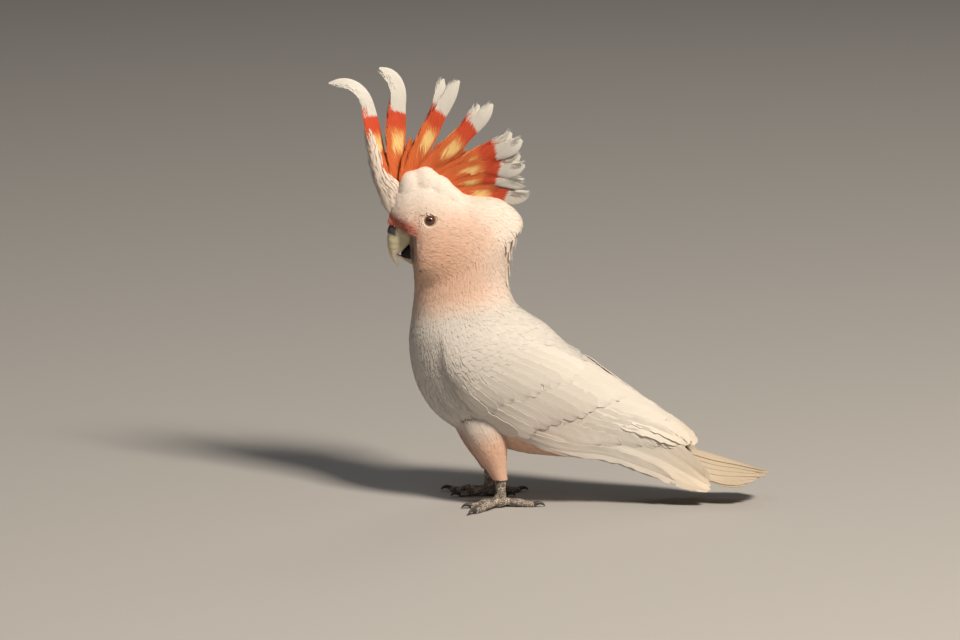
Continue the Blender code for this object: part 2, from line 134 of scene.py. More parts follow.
@dataclass
class Surface:
    """The points and faces of one piece, with values at its points, kept as whole arrays in millimetres."""

    points: Array
    quads: Array = field(default_factory=lambda: np.zeros((0, 4), int))
    triangles: Array = field(default_factory=lambda: np.zeros((0, 3), int))
    values: dict = field(default_factory=dict)
    maps: dict = field(default_factory=dict)
    normals: Array = None

    @staticmethod
    def joined(parts: list) -> "Surface":
        """All the parts as one surface; a value or map that a part lacks is 0 there."""
        def gathered(kind: str, *shape: int) -> dict:
            """The parts' values or maps, run together under their names."""
            names = sorted({name for part in parts for name in getattr(part, kind)})
            return {name: np.concatenate([getattr(part, kind).get(name, np.zeros((len(part.points), *shape)))
                                          for part in parts]) for name in names}

        starts = np.cumsum([0] + [len(part.points) for part in parts])
        shaded = all(part.normals is not None for part in parts)
        return Surface(
            np.concatenate([part.points for part in parts]),
            np.concatenate([part.quads + start for part, start in zip(parts, starts)]),
            np.concatenate([part.triangles + start for part, start in zip(parts, starts)]),
            gathered("values"),
            gathered("maps", 2),
            np.concatenate([part.normals for part in parts]) if shaded else None,
        )

    def mesh(self, name: str) -> Mesh:
        """A Blender mesh in metres in the row frame, smooth but for edges sharper than 48 degrees."""
        mesh = bpy.data.meshes.new(name)
        corners = np.concatenate([self.quads.ravel(), self.triangles.ravel()]).astype(np.int32)
        starts = np.concatenate([np.arange(len(self.quads)) * 4,
                                 len(self.quads) * 4 + np.arange(len(self.triangles)) * 3]).astype(np.int32)
        mesh.vertices.add(len(self.points))
        mesh.vertices.foreach_set("co", (self.points * MM + ROW_SHIFT).astype(np.float32).ravel())
        mesh.loops.add(len(corners))
        mesh.loops.foreach_set("vertex_index", corners)
        mesh.polygons.add(len(starts))
        mesh.polygons.foreach_set("loop_start", starts)
        mesh.update(calc_edges=True)
        for key, value in self.values.items():
            kept = mesh.attributes.new(key, "FLOAT", "POINT")
            kept.data.foreach_set("value", value.astype(np.float32).ravel())
        for key, value in self.maps.items():
            layer = mesh.uv_layers.new(name=key)
            layer.data.foreach_set("uv", value[corners].astype(np.float32).ravel())
        mesh.shade_smooth()
        if self.normals is None:
            mesh.set_sharp_from_angle(angle=SHARP)
        else:
            given = self.normals[corners].astype(np.float32)
            # every third quad is a blade's underside
            given[:len(self.quads) * 4].reshape(-1, 3, 4, 3)[:, 2] *= -1
            mesh.normals_split_custom_set(given)
        return mesh

    def piece(self, name: str, finish: Material, slot: str, nodes: list) -> None:
        """Makes the piece that shows this surface, with what show takes."""
        show(placed(name, self.mesh(name)), finish, slot, nodes)


def placed(name: str, content: bpy.types.ID) -> Object:
    """A new object of the scene that shows a mesh, or is a lamp or a camera."""
    made = bpy.data.objects.new(name, content)
    bpy.context.scene.collection.objects.link(made)
    return made


def shaped(raw: Object, name: str) -> Mesh:
    """The mesh that an object's modifiers make of its own, without a material; the object goes."""
    mesh = bpy.data.meshes.new_from_object(raw.evaluated_get(bpy.context.evaluated_depsgraph_get()))
    bpy.data.objects.remove(raw)
    mesh.name = name
    mesh.materials.clear()
    return mesh


def show(made: Object, finish: Material, slot: str, nodes: list) -> None:
    """Makes an object a piece that rides on the bird and stands for CAD nodes, and reports it.

    Args:
        made: The object.
        finish: Its material.
        slot: The record's material slot that it takes its finish from; not used.
        nodes: The CAD nodes that it replaces.
    """
    made.data.materials.append(finish)
    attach(made, "root")
    if nodes:
        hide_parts(*nodes)
    LOG.info("%s: %d faces, stands for %s", made.name, len(made.data.polygons),
             ", ".join(nodes) or "no node")


def grid_quads(rows: int, columns: int, ring: bool = False) -> Array:
    """Quads of a grid of rows by columns points, joined round each row if ring."""
    r, c = np.meshgrid(np.arange(rows - 1), np.arange(columns if ring else columns - 1), indexing="ij")
    near, far = r * columns, (r + 1) * columns
    nxt = (c + 1) % columns
    return np.stack([near + c, near + nxt, far + nxt, far + c], axis=-1).reshape(-1, 4)


def tube(rings: Array, values: dict = None, inside_out: bool = False) -> Surface:
    """A closed surface through rings of points, each end drawn in to its middle.

    Args:
        rings: Points, as rings by sides by 3.
        values: Values at the points, as rings by sides.
        inside_out: Turns every face round.

    Returns:
        The surface.
    """
    ends = [rings[:1].mean(axis=1, keepdims=True), rings[-1:].mean(axis=1, keepdims=True)]
    count, sides = rings.shape[:2]
    quads = grid_quads(count, sides, ring=True)
    first, last = count * sides, count * sides + 1
    around = np.arange(sides)
    fans = [np.stack([np.full(sides, first), (around + 1) % sides, around], axis=-1),
            np.stack([np.full(sides, last), around + (count - 1) * sides,
                      (around + 1) % sides + (count - 1) * sides], axis=-1)]
    triangles = np.concatenate(fans)
    if inside_out:
        quads, triangles = quads[:, ::-1], triangles[:, ::-1]
    points = np.concatenate([rings.reshape(-1, 3), ends[0].reshape(-1, 3), ends[1].reshape(-1, 3)])
    kept = {key: np.concatenate([value.ravel(), [value[0].mean(), value[-1].mean()]])
            for key, value in (values or {}).items()}
    return Surface(points, quads, triangles, kept)


def swept(path: Array, radii: Array, sides: int, upright: bool = False) -> Array:
    """Rings of points round a path, each at right angles to it.

    Args:
        path: The middle of each ring.
        radii: The radius at each ring, or rings by sides of radii.
        sides: How many points a ring has.
        upright: Whether the path runs up or down rather than along the ground.

    Returns:
        Rings by sides by 3.
    """
    ahead = unit(np.gradient(path, axis=0))
    side = np.tile((0.0, 1.0, 0.0), (len(path), 1)) if upright else unit(np.cross(ahead, (0.0, 0.0, 1.0)))
    over = np.cross(side, ahead)
    angle = np.arange(sides) * 2 * math.pi / sides
    ring = np.cos(angle)[None, :, None] * side[:, None] + np.sin(angle)[None, :, None] * over[:, None]
    radii = np.asarray(radii, float)
    return path[:, None] + ring * (radii[:, None, None] if radii.ndim == 1 else radii[..., None])


# -------------------------------------------------------------------------------- the bird's form


class Section(NamedTuple):
    """One cross-section of the body: a slanting plane through a belly point and a back point."""

    name: str
    belly: tuple
    back: tuple
    half_width: float
    widest: float


BODY = (
    Section("cere", (-72.2, 219.8), (-90.6, 232.3), 7.5, 0.0),
    Section("lores", (-71.1, 209.8), (-90.2, 241.5), 9.5, 0.0),
    Section("forehead", (-70.9, 201.5), (-87.3, 250.6), 13.0, -0.1),
    Section("brow", (-70.8, 196.5), (-83.2, 261.5), 17.0, -0.2),
    Section("front of crown", (-70.7, 193.6), (-77.0, 271.8), 20.0, -0.25),
    Section("eyes", (-70.5, 191.1), (-62.5, 276.4), 23.0, -0.3),
    Section("crown", (-70.4, 188.6), (-45.0, 271.2), 26.5, -0.33),
    Section("back of crown", (-70.2, 185.7), (-24.0, 262.6), 29.0, -0.28),
    Section("cheeks", (-70.0, 182.8), (-1.5, 252.8), 30.5, -0.2),
    Section("nape", (-70.0, 179.4), (13.9, 234.4), 30.5, -0.1),
    Section("below the nape", (-70.2, 175.3), (13.1, 218.1), 30.0, 0.0),
    Section("throat", (-70.7, 169.0), (8.2, 199.8), 29.5, 0.0),
    Section("neck", (-71.8, 159.9), (7.0, 183.2), 30.0, 0.0),
    Section("foot of neck", (-73.1, 141.5), (11.5, 168.2), 33.0, 0.0),
    Section("shoulders", (-73.0, 116.6), (21.3, 158.2), 38.0, 0.0),
    Section("breast", (-65.6, 92.4), (37.0, 148.6), 41.0, 0.0),
    Section("keel", (-49.2, 70.8), (54.0, 132.6), 42.0, 0.0),
    Section("belly", (-20.5, 54.5), (73.6, 116.6), 39.5, 0.0),
    Section("loins", (12.3, 43.0), (93.3, 100.3), 35.0, 0.0),
    Section("rump", (46.7, 38.5), (111.6, 86.2), 30.0, 0.0),
    Section("root of tail", (82.0, 36.0), (128.8, 73.8), 25.5, 0.1),
    Section("middle of folded wing", (119.0, 26.5), (143.6, 64.0), 22.5, 0.2),
    Section("end of folded wing", (157.5, 12.5), (159.0, 53.5), 21.5, 0.25),
    Section("tip of longest quill", (173.0, 9.5), (173.5, 41.0), 20.5, 0.3),
)
TABLE = np.array([(*s.belly, *s.back, s.half_width, s.widest) for s in BODY], float)
SQUARENESS = 2.15  # 2 is an ellipse
EYE = Vector((-56.8, 19.6, 237.2))  # the centre of an eye; y is the distance out from the middle
EYE_NODE = Vector((-57.4, -19.6, 238.5))  # the centre of the frame's left eye
EYE_PLACE = (5.82, 65.0)  # its station, and degrees round from the back

_low, _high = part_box("eye_left")
ROW_SHIFT = np.array((_low + _high) / 2) - np.array(EYE_NODE) * MM


class Side(Enum):
    """The bird's two sides, by the sign of y."""

    LEFT = -1
    RIGHT = 1

    @property
    def word(self) -> str:
        """The side's name in the CAD nodes."""
        return self.name.lower()


class Patch(NamedTuple):
    """Points of a ground, unit vectors along the lie, across it and out, and mm for each unit of a and b."""

    point: Array
    ahead: Array
    across: Array
    normal: Array
    per_a: Array
    per_b: Array


def in_margin(u: Array, v: Array) -> Array:
    """A place on an unwrap, 0 to 1 each way, drawn in to leave a narrow margin."""
    return np.stack([0.02 + 0.96 * np.asarray(u, float), 0.02 + 0.96 * np.asarray(v, float)], axis=-1)


class Ground:
    """A surface of two parameters that plumage grows on: a runs with the lie and b runs across it."""

    step_a = 0.02
    step_b = 0.4
    outward = 1.0

    def point(self, a: Array, b: Array) -> Array:
        """The point at each a and b, in mm."""
        raise NotImplementedError

    def unwrap(self, a: Array, b: Array) -> Array:
        """Where a and b lie on a flat unwrap of this ground, from 0 to 1 each way."""
        raise NotImplementedError

    def frame(self, a: Array, b: Array) -> Patch:
        """The ground's points and directions at each a and b, from small steps each way."""
        ahead = (self.point(a + self.step_a, b) - self.point(a - self.step_a, b)) / (2 * self.step_a)
        across = (self.point(a, b + self.step_b) - self.point(a, b - self.step_b)) / (2 * self.step_b)
        normal = unit(np.cross(across, ahead)) * self.outward
        per_a = np.linalg.norm(ahead, axis=-1)
        per_b = np.linalg.norm(across, axis=-1)
        return Patch(self.point(a, b), unit(ahead), unit(across), normal, per_a, per_b)


class BodyGround(Ground):
    """The coat's outline from bill to tail: a is a station and b the degrees from the back by the left."""

    def point(self, a: Array, b: Array, grow: Array = 0.0) -> Array:
        """A rounded oval between the section's belly point and back point; grow moves it outwards."""
        row = smooth(TABLE, a)
        belly_x, belly_z, back_x, back_z, half_width, widest = np.moveaxis(row, -1, 0)
        angle = np.radians(b)
        along, across = np.cos(angle), np.sin(angle)
        along = np.sign(along) * np.abs(along) ** (2 / SQUARENESS)
        across = np.sign(across) * np.abs(across) ** (2 / SQUARENESS)
        reach = along + widest * (1 - along**2)
        half_x, half_z = (back_x - belly_x) / 2, (back_z - belly_z) / 2
        bigger = 1 + grow / np.hypot(half_x, half_z)
        x = (belly_x + back_x) / 2 + half_x * reach * bigger
        z = (belly_z + back_z) / 2 + half_z * reach * bigger
        return xyz(x, -(half_width + grow) * across, z)

    def unwrap(self, a: Array, b: Array) -> Array:
        """Degrees round and station, inside a narrow margin."""
        return in_margin(np.asarray(b) % 360 / 360, np.asarray(a) / 23)


FORM = BodyGround()


def off_back(b: Array) -> Array:
    """How many degrees b is from the middle of the back, 0 to 180 on either side."""
    return np.abs((np.asarray(b, float) + 180) % 360 - 180)


def coat_depth(a: Array, b: Array) -> Array:
    """How deep the skin lies under the coat's outline: least on the face, most under the crown's puff."""
    return 0.8 + 1.8 * step_up(a, 1.5, 10.0) + 3.0 * bump(a, 5.0, 1.1) * bump(off_back(b), 0, 26)


@dataclass(frozen=True)
class WingBand:
    """Where a folded wing lies on the body, as part of the solids has it."""

    end: float = 23.0
    clearance: float = 1.0
    thickness: float = 5.0
    edge: float = 1.0
    fullness: float = 0.86
    lower: tuple = ((13.5, 112), (14.5, 120), (16, 117), (18, 121), (20, 131), (21.5, 147), (23.0, 152))
    upper: tuple = ((13.5, 84), (14.5, 58), (16, 34), (18, 16), (20, 9), (21.5, 10), (23.0, 74))

    def edges(self, a: Array) -> tuple:
        """Its lower and upper edge at each station, in degrees from the back."""
        return eased(self.lower, a), eased(self.upper, a)

    def share(self, a: Array, b: Array) -> Array:
        """Where b lies across the band: 0 at its lower edge, 1 at its upper, beyond if outside."""
        low, high = self.edges(a)
        return (off_back(b) - low) / np.where(np.abs(high - low) < 1, 1, high - low)

    def rise(self, a: Array, share: Array) -> Array:
        """How far its outer face stands off the body: an arch across that grows from the front and thins."""
        over = np.clip(4 * share * self.fullness * (1 - share * self.fullness), 0, 1)
        along = np.clip((self.end - a) / (self.end - 15.5), 0, 1) * np.clip((a - 12.6) / 2.2, 0, 1)
        return self.clearance + self.edge + (self.thickness - self.edge) * over**0.6 * along**0.7


WING_BAND = WingBand()


class WingGround(Ground):
    """The outer face of a folded wing: a is a station and b the share from its lower edge to its upper."""

    step_b = 0.01

    def __init__(self, side: Side) -> None:
        """Keeps the side."""
        self.side = side
        self.outward = float(side.value)

    def point(self, a: Array, b: Array) -> Array:
        """The body's form at the band's angle, raised by the wing's own thickness there."""
        a, b = np.broadcast_arrays(np.asarray(a, float), np.asarray(b, float))
        low, high = WING_BAND.edges(a)
        x, y, z = np.moveaxis(FORM.point(a, low + (high - low) * b, WING_BAND.rise(a, b)), -1, 0)
        lower = step_up(b, 0.65, 0.0)
        beside = smooth(TABLE, a)[..., 4] + WING_BAND.clearance + WING_BAND.edge + 5 * lower
        out = step_up(a, 16.0, 19.0) * lower * np.logaddexp(0.0, 1.2 * (beside + y)) / 1.2
        return xyz(x, self.side.value * (out - y), z + 0.18 * out)

    def unwrap(self, a: Array, b: Array) -> Array:
        """Share and station, inside a narrow margin."""
        return in_margin(np.clip(b, 0, 1), (np.asarray(a) - 12) / 12)


def wing_rise(a: Array, b: Array) -> Array:
    """How far a folded wing lifts the coat off the body: as thick as the wing, with soft borders."""
    share = WING_BAND.share(a, b)
    high = WING_BAND.edges(a)[1]
    borders = step_up(share, -0.12, 0.10) * step_up(off_back(b), high - 30, high + 6)
    return WING_BAND.rise(a, np.clip(share, 0, 1)) * (borders * step_up(a, 12.9, 14.8))


class Lobe(NamedTuple):
    """A soft swelling of the coat on both sides: its middle, its reach and how far it rises."""

    x: float
    y: float
    z: float
    reach: float
    rise: float


LOBES = (
    Lobe(-75.0, 8.0, 268.0, 11.0, 4.6),
    Lobe(-61.0, 8.0, 271.5, 12.0, 5.0),
    Lobe(-46.5, 9.0, 266.0, 10.5, 3.0),
    Lobe(-35.0, 11.0, 260.0, 9.5, 2.4),
    Lobe(-66.0, 18.0, 256.0, 13.0, 1.0),
    Lobe(-12.0, 16.0, 245.0, 15.0, 1.4),
)


class Dent(NamedTuple):
    """A hollow across the back: its station, its reach in stations and in degrees, and its depth."""

    station: float
    along: float
    across: float
    depth: float


CREST_BED = Dent(7.0, 0.55, 26.0, 7.5)
BELOW_NAPE = Dent(10.3, 0.4, 24.0, 2.6)


class CoatGround(BodyGround):
    """The body's form with the wings and the head's lobes on it, sunk behind the crest and at the gape.

    The gape is the bare corner beside the bill. Each of its pairs is where its slope starts and ends.
    crowding says how sharply lobes that overlap run together.
    """

    collar_rise = 1.4
    collar_place = (13.15, 0.35)
    collar_angles = (80, 115)
    crowding = 1.1
    gape_depth = 9.0
    gape_ahead = (-68.0, -70.8)
    gape_under = (225.5, 222.5)
    gape_over = (203.0, 208.0)
    gape_inside = (24.5, 19.5)

    def point(self, a: Array, b: Array, grow: Array = 0.0) -> Array:
        """The form, raised or sunk."""
        turned = off_back(b)
        sunk = sum(dent.depth * bump(a, dent.station, dent.along) * bump(turned, 0, dent.across)
                   for dent in (CREST_BED, BELOW_NAPE))
        collar = self.collar_rise * bump(a, *self.collar_place) * step_up(turned, *self.collar_angles)
        x, y, z = np.moveaxis(super().point(a, b), -1, 0)
        rise = 1.0
        for lobe in LOBES:
            far = ((x - lobe.x) ** 2 + (np.abs(y) - lobe.y) ** 2 + (z - lobe.z) ** 2) / lobe.reach**2
            rise = rise + np.exp(self.crowding * lobe.rise * np.clip(1 - far, 0, 1) ** 1.1) - 1
        rise = np.log(rise) / self.crowding
        gape = self.gape_depth * step_up(x, *self.gape_ahead) * step_up(z, *self.gape_under)
        gape = gape * step_up(z, *self.gape_over) * step_up(np.abs(y), *self.gape_inside)
        return super().point(a, b, grow + wing_rise(a, b) - sunk + collar + rise - gape)


class NapeGround(CoatGround):
    """The coat's ground where the loose feathers of the nape stand off it, highest at their tips."""

    lifted = 4.6
    stations = (7.3, 9.5)
    angles = (50, 12)

    def point(self, a: Array, b: Array, grow: Array = 0.0) -> Array:
        """The coat's ground, raised."""
        raised = self.lifted * step_up(a, *self.stations) * step_up(off_back(b), *self.angles)
        return super().point(a, b, grow + raised)


COAT = CoatGround()


@dataclass(frozen=True)
class Limb:
    """A leg: where its ankle stands, how far the foot turns out, and its stations down to the ground."""

    side: Side
    ankle_x: float
    ankle_y: float
    turn: float
    thigh: tuple = ((-13.0, 78.0, 21.0), (-10.5, 62.0, 17.5), (-7.5, 48.0, 13.6), (-3.5, 34.0, 9.0),
                    (0.0, 23.2, 6.2))
    shank: tuple = ((0.0, 26.0, 4.6), (0.4, 20.0, 4.5), (0.6, 13.0, 4.3), (0.4, 8.6, 5.2), (0.0, 5.4, 6.3),
                    (0.0, 2.8, 6.0), (0.0, 0.9, 4.6))

    @property
    def middle_y(self) -> float:
        """Where the leg stands across the bird."""
        return self.side.value * self.ankle_y


class ThighGround(Ground):
    """The outline of a feathered thigh: a runs down its stations, b is the degrees round it from behind."""

    step_b = 1.0

    def __init__(self, limb: Limb) -> None:
        """Keeps the limb."""
        self.limb = limb
        self.outward = -1.0

    def point(self, a: Array, b: Array) -> Array:
        """A leaning oval about the thigh's middle line, narrower across than along."""
        x, z, radius = np.moveaxis(smooth(self.limb.thigh, a), -1, 0)
        squeeze = np.interp(z, (23, 50, 78), (1.0, 0.85, 0.55))
        angle = np.radians(b)
        lean = 0.25 * np.interp(z, (23, 40), (0, 1))
        return xyz(self.limb.ankle_x + x + radius * np.cos(angle),
                   self.limb.middle_y + radius * squeeze * np.sin(angle), z + radius * lean * np.cos(angle))

    def unwrap(self, a: Array, b: Array) -> Array:
        """Degrees round and station, inside a narrow margin."""
        return in_margin(np.asarray(b) % 360 / 360, np.asarray(a) / 4.4)


# -------------------------------------------------------------------------------- markings


class Markings:
    """Where the bird is salmon, rust and cream; skin and coat both read it.

    Each pair is where a colour starts and where it is full, as a height, a place along the bird, or a height
    above a slanting line. The cheek's pairs are a middle and a reach, and the lines of the collar and the
    lores are a height, a slant and the place along the bird where they have that height.
    """

    collar_line = (162, 0.15, -67)
    belly_line = 0.28
    lores_line = (233.4, -0.38, -85)
    neck = (-5, 11)
    crown = (226, 262)
    nape = (-25, 8)
    belly = (84, 52)
    belly_ahead = (90, 40)
    cheek = (-52, 18)
    cheek_height = (204, 20)
    lores_width = 2.8
    lores_ahead = (-66, -74)
    gape_ahead = (-69.0, -71.0)
    gape_over = (200, 206)
    gape_under = (226, 222)
    gape_inside = (19, 16)
    aged = (95, 190)

    @classmethod
    def at(cls, points: Array) -> dict:
        """The share of each colour at points of the body.

        Args:
            points: Places in the bird's frame.

        Returns:
            blush, 0 white to 1 salmon; rust, the red before the eye; cream, a warm tint that grows towards
            the tail;
            pale, where white is the body's greyer one, partly its own and partly painted shade; and gape,
            the bare skin beside the bill, painted dark, partly its own grey-brown and partly painted shade
            between bill and cheek.
        """
        x, y, z = np.moveaxis(points, -1, 0)
        height, slant, start = cls.collar_line
        collar = z - (height + slant * (x - start))
        neck = step_up(collar, *cls.neck)
        crown = step_up(z - 0.2 * (x + 60), *cls.crown)
        nape = step_up(x, *cls.nape)
        blush = neck * (0.62 - 0.47 * crown - 0.34 * nape * (1 - crown))
        blush += 0.25 * neck * bump(x, *cls.cheek) * bump(z, *cls.cheek_height)
        # the belly and thighs' salmon is their own colour, laid on more strongly than elsewhere as painted
        # shade under the body and wing
        blush += 0.75 * (step_up(z - cls.belly_line * x, *cls.belly) * step_up(x, *cls.belly_ahead))
        height, slant, start = cls.lores_line
        lores = bump(z - (height + slant * (x - start)), 0, cls.lores_width)
        # the gape is painted dark: partly the bare skin's own grey-brown, partly painted shade between bill
        # and cheek
        gape = step_up(x, *cls.gape_ahead) * step_up(z, *cls.gape_over) * step_up(z, *cls.gape_under)
        # cream: a warm tint that grows towards the tail and the lower edge
        cream = 0.10 + 0.55 * step_up(x - 0.5 * (z - 40), *cls.aged)
        return {
            "blush": np.clip(blush, 0, 1),
            "rust": np.clip(1.6 * lores - 0.15, 0, 1) * step_up(x, *cls.lores_ahead),
            "cream": np.where(z > 150, 0.1, cream),
            # pale: where the body's greyer white takes over, partly its own colour and partly painted shade
            "pale": step_up(collar, *cls.neck[::-1]),
            "gape": gape * step_up(np.abs(y), *cls.gape_inside),
        }


# -------------------------------------------------------------------------------- feathers


@dataclass(frozen=True)
class FeatherCut:
    """The shape that many small feathers share.

    widths gives the share of the full width at places along the shaft, sweep how far the barbs at the edge
    run ahead of the shaft, ragged how unequal they are, and camber how far the edges fall, each as a share
    of the half width. roundness is how far the shading turns towards the edges.
    """

    rings: int = 5
    widths: tuple = ((0.0, 0.45), (0.3, 0.9), (0.6, 1.0), (0.85, 0.8), (1.0, 0.3))
    sweep: float = 0.7
    ragged: float = 0.35
    camber: float = 0.15
    thickness: float = 0.25
    roundness: float = 0.12


STRAND = FeatherCut(rings=4, widths=((0, 0.6), (0.5, 1.0), (1.0, 0.1)), sweep=0.2, ragged=0.2, camber=0.1)


@dataclass
class Roots:
    """Where feathers grow, with each one's own size; but for a and b, one number can stand for all."""

    a: Array
    b: Array
    length: Array
    half_width: Array
    turn: Array
    root_height: Array
    tip_height: Array

    def __post_init__(self) -> None:
        """Gives each feather its own value where one number was given for all."""
        for name in self.__dataclass_fields__:
            setattr(self, name, np.broadcast_to(getattr(self, name), self.a.shape))

    def kept(self, mask: Array) -> "Roots":
        """Only the feathers where mask is true."""
        return Roots(*(getattr(self, name)[mask] for name in self.__dataclass_fields__))

    def split(self, strands: int, rng: Rng, spread: float, narrower: float) -> "Roots":
        """Each feather as several narrower ones that fan out from its root.

        Args:
            strands: How many.
            rng: Where the unevenness comes from.
            spread: The fan's half angle in radians.
            narrower: Their width as a share of the feather's.

        Returns:
            Their roots.
        """
        many = Roots(*(np.repeat(getattr(self, name), strands) for name in self.__dataclass_fields__))
        fan = np.tile(np.linspace(-1, 1, strands), len(self.a))
        count = len(many.a)
        many.turn = many.turn + fan * spread + rng.normal(0, spread * 0.3, count)
        many.length = many.length * (1 - 0.16 * np.abs(fan)) * rng.uniform(0.85, 1.12, count)
        many.half_width = many.half_width * narrower
        many.tip_height = many.tip_height + rng.normal(0, 0.08, count)
        return many


def scatter(ground: Ground, first: float, last: float, spacing: float, rng: Rng,
            low: float = 0.0, high: float = 360.0) -> tuple:
    """Evenly spaced roots over a ground, in rows across the lie whose roots stand in each other's gaps.

    Rows are as far apart as the spacing where the ground is longest along the lie, and where the rows draw
    together each has fewer roots.

    Args:
        ground: Where they grow.
        first: The first row's a.
        last: The last row's a.
        spacing: The distance between neighbours, in mm.
        rng: Where the unevenness comes from.
        low: The lowest b.
        high: The highest b.

    Returns:
        The a and the b of each root.
    """
    fine_a = np.linspace(first, last, 200)
    fine_b = np.linspace(low, high, 241)
    patch = ground.frame(*np.broadcast_arrays(fine_a[:, None], fine_b[None, :]))
    longest = patch.per_a.max(axis=1)
    run = np.concatenate([[0], np.cumsum((longest[1:] + longest[:-1]) / 2 * np.diff(fine_a))])
    rows = np.interp(np.arange(0, run[-1], spacing), run, fine_a)
    widest = np.interp(rows, fine_a, longest)
    a, b = [], []
    for number, row in enumerate(rows):
        here = ground.frame(np.full(len(fine_b), row), fine_b)
        weight = here.per_b * np.clip(here.per_a / widest[number], 0.03, 1)
        total = np.concatenate([[0], np.cumsum((weight[1:] + weight[:-1]) / 2 * np.diff(fine_b))])
        count = max(2, round(total[-1] / spacing))
        place = (np.arange(count) + 0.5 * (number % 2) + rng.uniform(-0.3, 0.3, count)) / count % 1
        b.append(np.interp(place * total[-1], total, fine_b))
        a.append(np.full(count, row))
    a, b = np.concatenate(a), np.concatenate(b)
    return a + rng.uniform(-0.35, 0.35, len(a)) * spacing / np.interp(a, rows, widest), b


def blades(middle: Array, normal: Array, half_width: Array, cut: FeatherCut, rng: Rng,
           place: Array, loft: Array = 0.0) -> Surface:
    """Closed thin feathers along given middle lines, as one surface.

    Each ring across a feather has three points: two edges, which run ahead of the shaft and fall below it,
    and the top of the shaft. They are shaded softly, as down is, by the normal given and not by each face.

    Args:
        middle: Feathers by rings by 3.
        normal: Which way is out, for each ring.
        half_width: For each feather.
        cut: The shape that they share.
        rng: Where the raggedness comes from.
        place: Each root's place on the unwrap, 0 to 1 each way.
        loft: How far the shading turns upwards, for each feather, as in loose down that light comes through.

    Returns:
        The surface, with along, side and tone, the markings, and the map OFBake.
    """
    count, rings = middle.shape[:2]
    t = np.linspace(0, 1, rings)
    ahead = unit(np.gradient(middle, axis=1))
    side = unit(np.cross(normal, ahead))
    width = half_width[:, None] * np.interp(t, *zip(*cut.widths))
    rough = 1 - cut.ragged * rng.random((count, rings, 2)) * t[None, :, None]
    step = np.linalg.norm(middle[:, -1] - middle[:, 0], axis=-1)[:, None] / (rings - 1)
    edges = []
    for k, way in enumerate((-1, 1)):
        out = (width * rough[..., k])[..., None]
        forward = np.arange(rings) + width * cut.sweep * rng.uniform(0.6, 1.4, (count, rings)) / step
        before = np.minimum(forward.astype(int), rings - 2)
        here, after = (np.take_along_axis(middle, (before + more)[..., None], axis=1) for more in (0, 1))
        spot = here + (after - here) * (forward - before)[..., None]  # along the shaft's own curve
        edges.append(spot + side * out * way - normal * out * cut.camber)
    top = middle + cut.thickness * normal * (1 - 0.6 * t)[None, :, None]
    points = np.stack([edges[0], top, edges[1]], axis=2)
    k, j = np.meshgrid(np.arange(rings - 1), np.arange(3), indexing="ij")
    quad = np.stack([k * 3 + j, (k + 1) * 3 + j, (k + 1) * 3 + (j + 1) % 3, k * 3 + (j + 1) % 3], axis=-1)
    first = np.arange(count)[:, None, None] * rings * 3
    quads = (first + quad.reshape(1, -1, 4)).reshape(-1, 4)
    last = rings * 3 - 1
    triangles = (first + np.array([[[0, 1, 2], [last, last - 1, last - 2]]])).reshape(-1, 3)
    shape = (count, rings, 3)
    along = np.broadcast_to(t[None, :, None], shape)
    across = np.broadcast_to(np.array([-1.0, 0, 1.0]), shape)
    halves = [unit(np.cross(ahead, middle - edges[0])), unit(np.cross(ahead, edges[1] - middle))]
    own = np.stack([halves[0], unit(halves[0] + halves[1]), halves[1]], axis=2)
    own = own * np.sign(np.sum(own * normal[:, :, None], axis=-1, keepdims=True))
    round_off = normal[:, :, None] + own + cut.roundness * across[..., None] * side[:, :, None]
    loft = np.broadcast_to(loft, (count,))[:, None, None, None]
    round_off = round_off + 2 * loft * np.array((0.0, 0.0, 1.0))
    tone = np.broadcast_to(rng.random(count)[:, None, None], shape)
    values = {"along": along, "side": across, "tone": tone}
    for key, value in Markings.at(middle).items():
        values[key] = np.broadcast_to((0.5 * value + 0.5 * value[:, :1])[..., None], shape)
    bake = place[:, None, None] + 0.0014 * np.stack([across, 2 * along - 1], axis=-1)
    return Surface(points.reshape(-1, 3), quads, triangles,
                   {key: value.ravel() for key, value in values.items()}, {"OFBake": bake.reshape(-1, 2)},
                   unit(round_off).reshape(-1, 3))


def lay_feathers(ground: Ground, roots: Roots, cut: FeatherCut, rng: Rng,
                 loft: Array = 0.0) -> Surface:
    """Closed thin feathers that follow a ground: each runs from its root along the lie, turned by its own
    angle, and rises from the root's height to the tip's.

    Args:
        ground: What they grow on.
        roots: Where, and how large each is.
        cut: The shape that they share.
        rng: Where the raggedness comes from.
        loft: As for blades.

    Returns:
        Their surface.
    """
    t = np.linspace(0, 1, cut.rings)
    start = ground.frame(roots.a, roots.b)
    reach = roots.length[:, None] * t
    per_a = np.maximum(start.per_a, 0.4 * np.median(start.per_a))
    a = roots.a[:, None] + reach * np.cos(roots.turn)[:, None] / per_a[:, None]
    b = roots.b[:, None] + reach * np.sin(roots.turn)[:, None] / start.per_b[:, None]
    patch = ground.frame(a, b)
    height = roots.root_height[:, None] + (roots.tip_height - roots.root_height)[:, None] * t**0.8
    middle = patch.point + patch.normal * height[..., None]
    return blades(middle, patch.normal, roots.half_width, cut, rng, ground.unwrap(roots.a, roots.b), loft)


@dataclass(frozen=True)
class QuillCut:
    """The shape of a large feather.

    widths gives the share of the full width at places along the shaft, barb how far a barb runs ahead of the
    shaft as a share of its length, splits how many gaps a feather has, and camber how far the edges fall as
    a share of the half width. shaft is the height of its rib in mm.
    """

    rows: int = 36
    columns: int = 9
    widths: tuple = ((0.0, 0.2), (0.1, 0.8), (0.6, 1.0), (0.85, 0.92), (0.95, 0.62), (1.0, 0.08))
    barb: float = 0.8
    splits: float = 1.5
    camber: float = 0.03
    shaft: float = 0.5


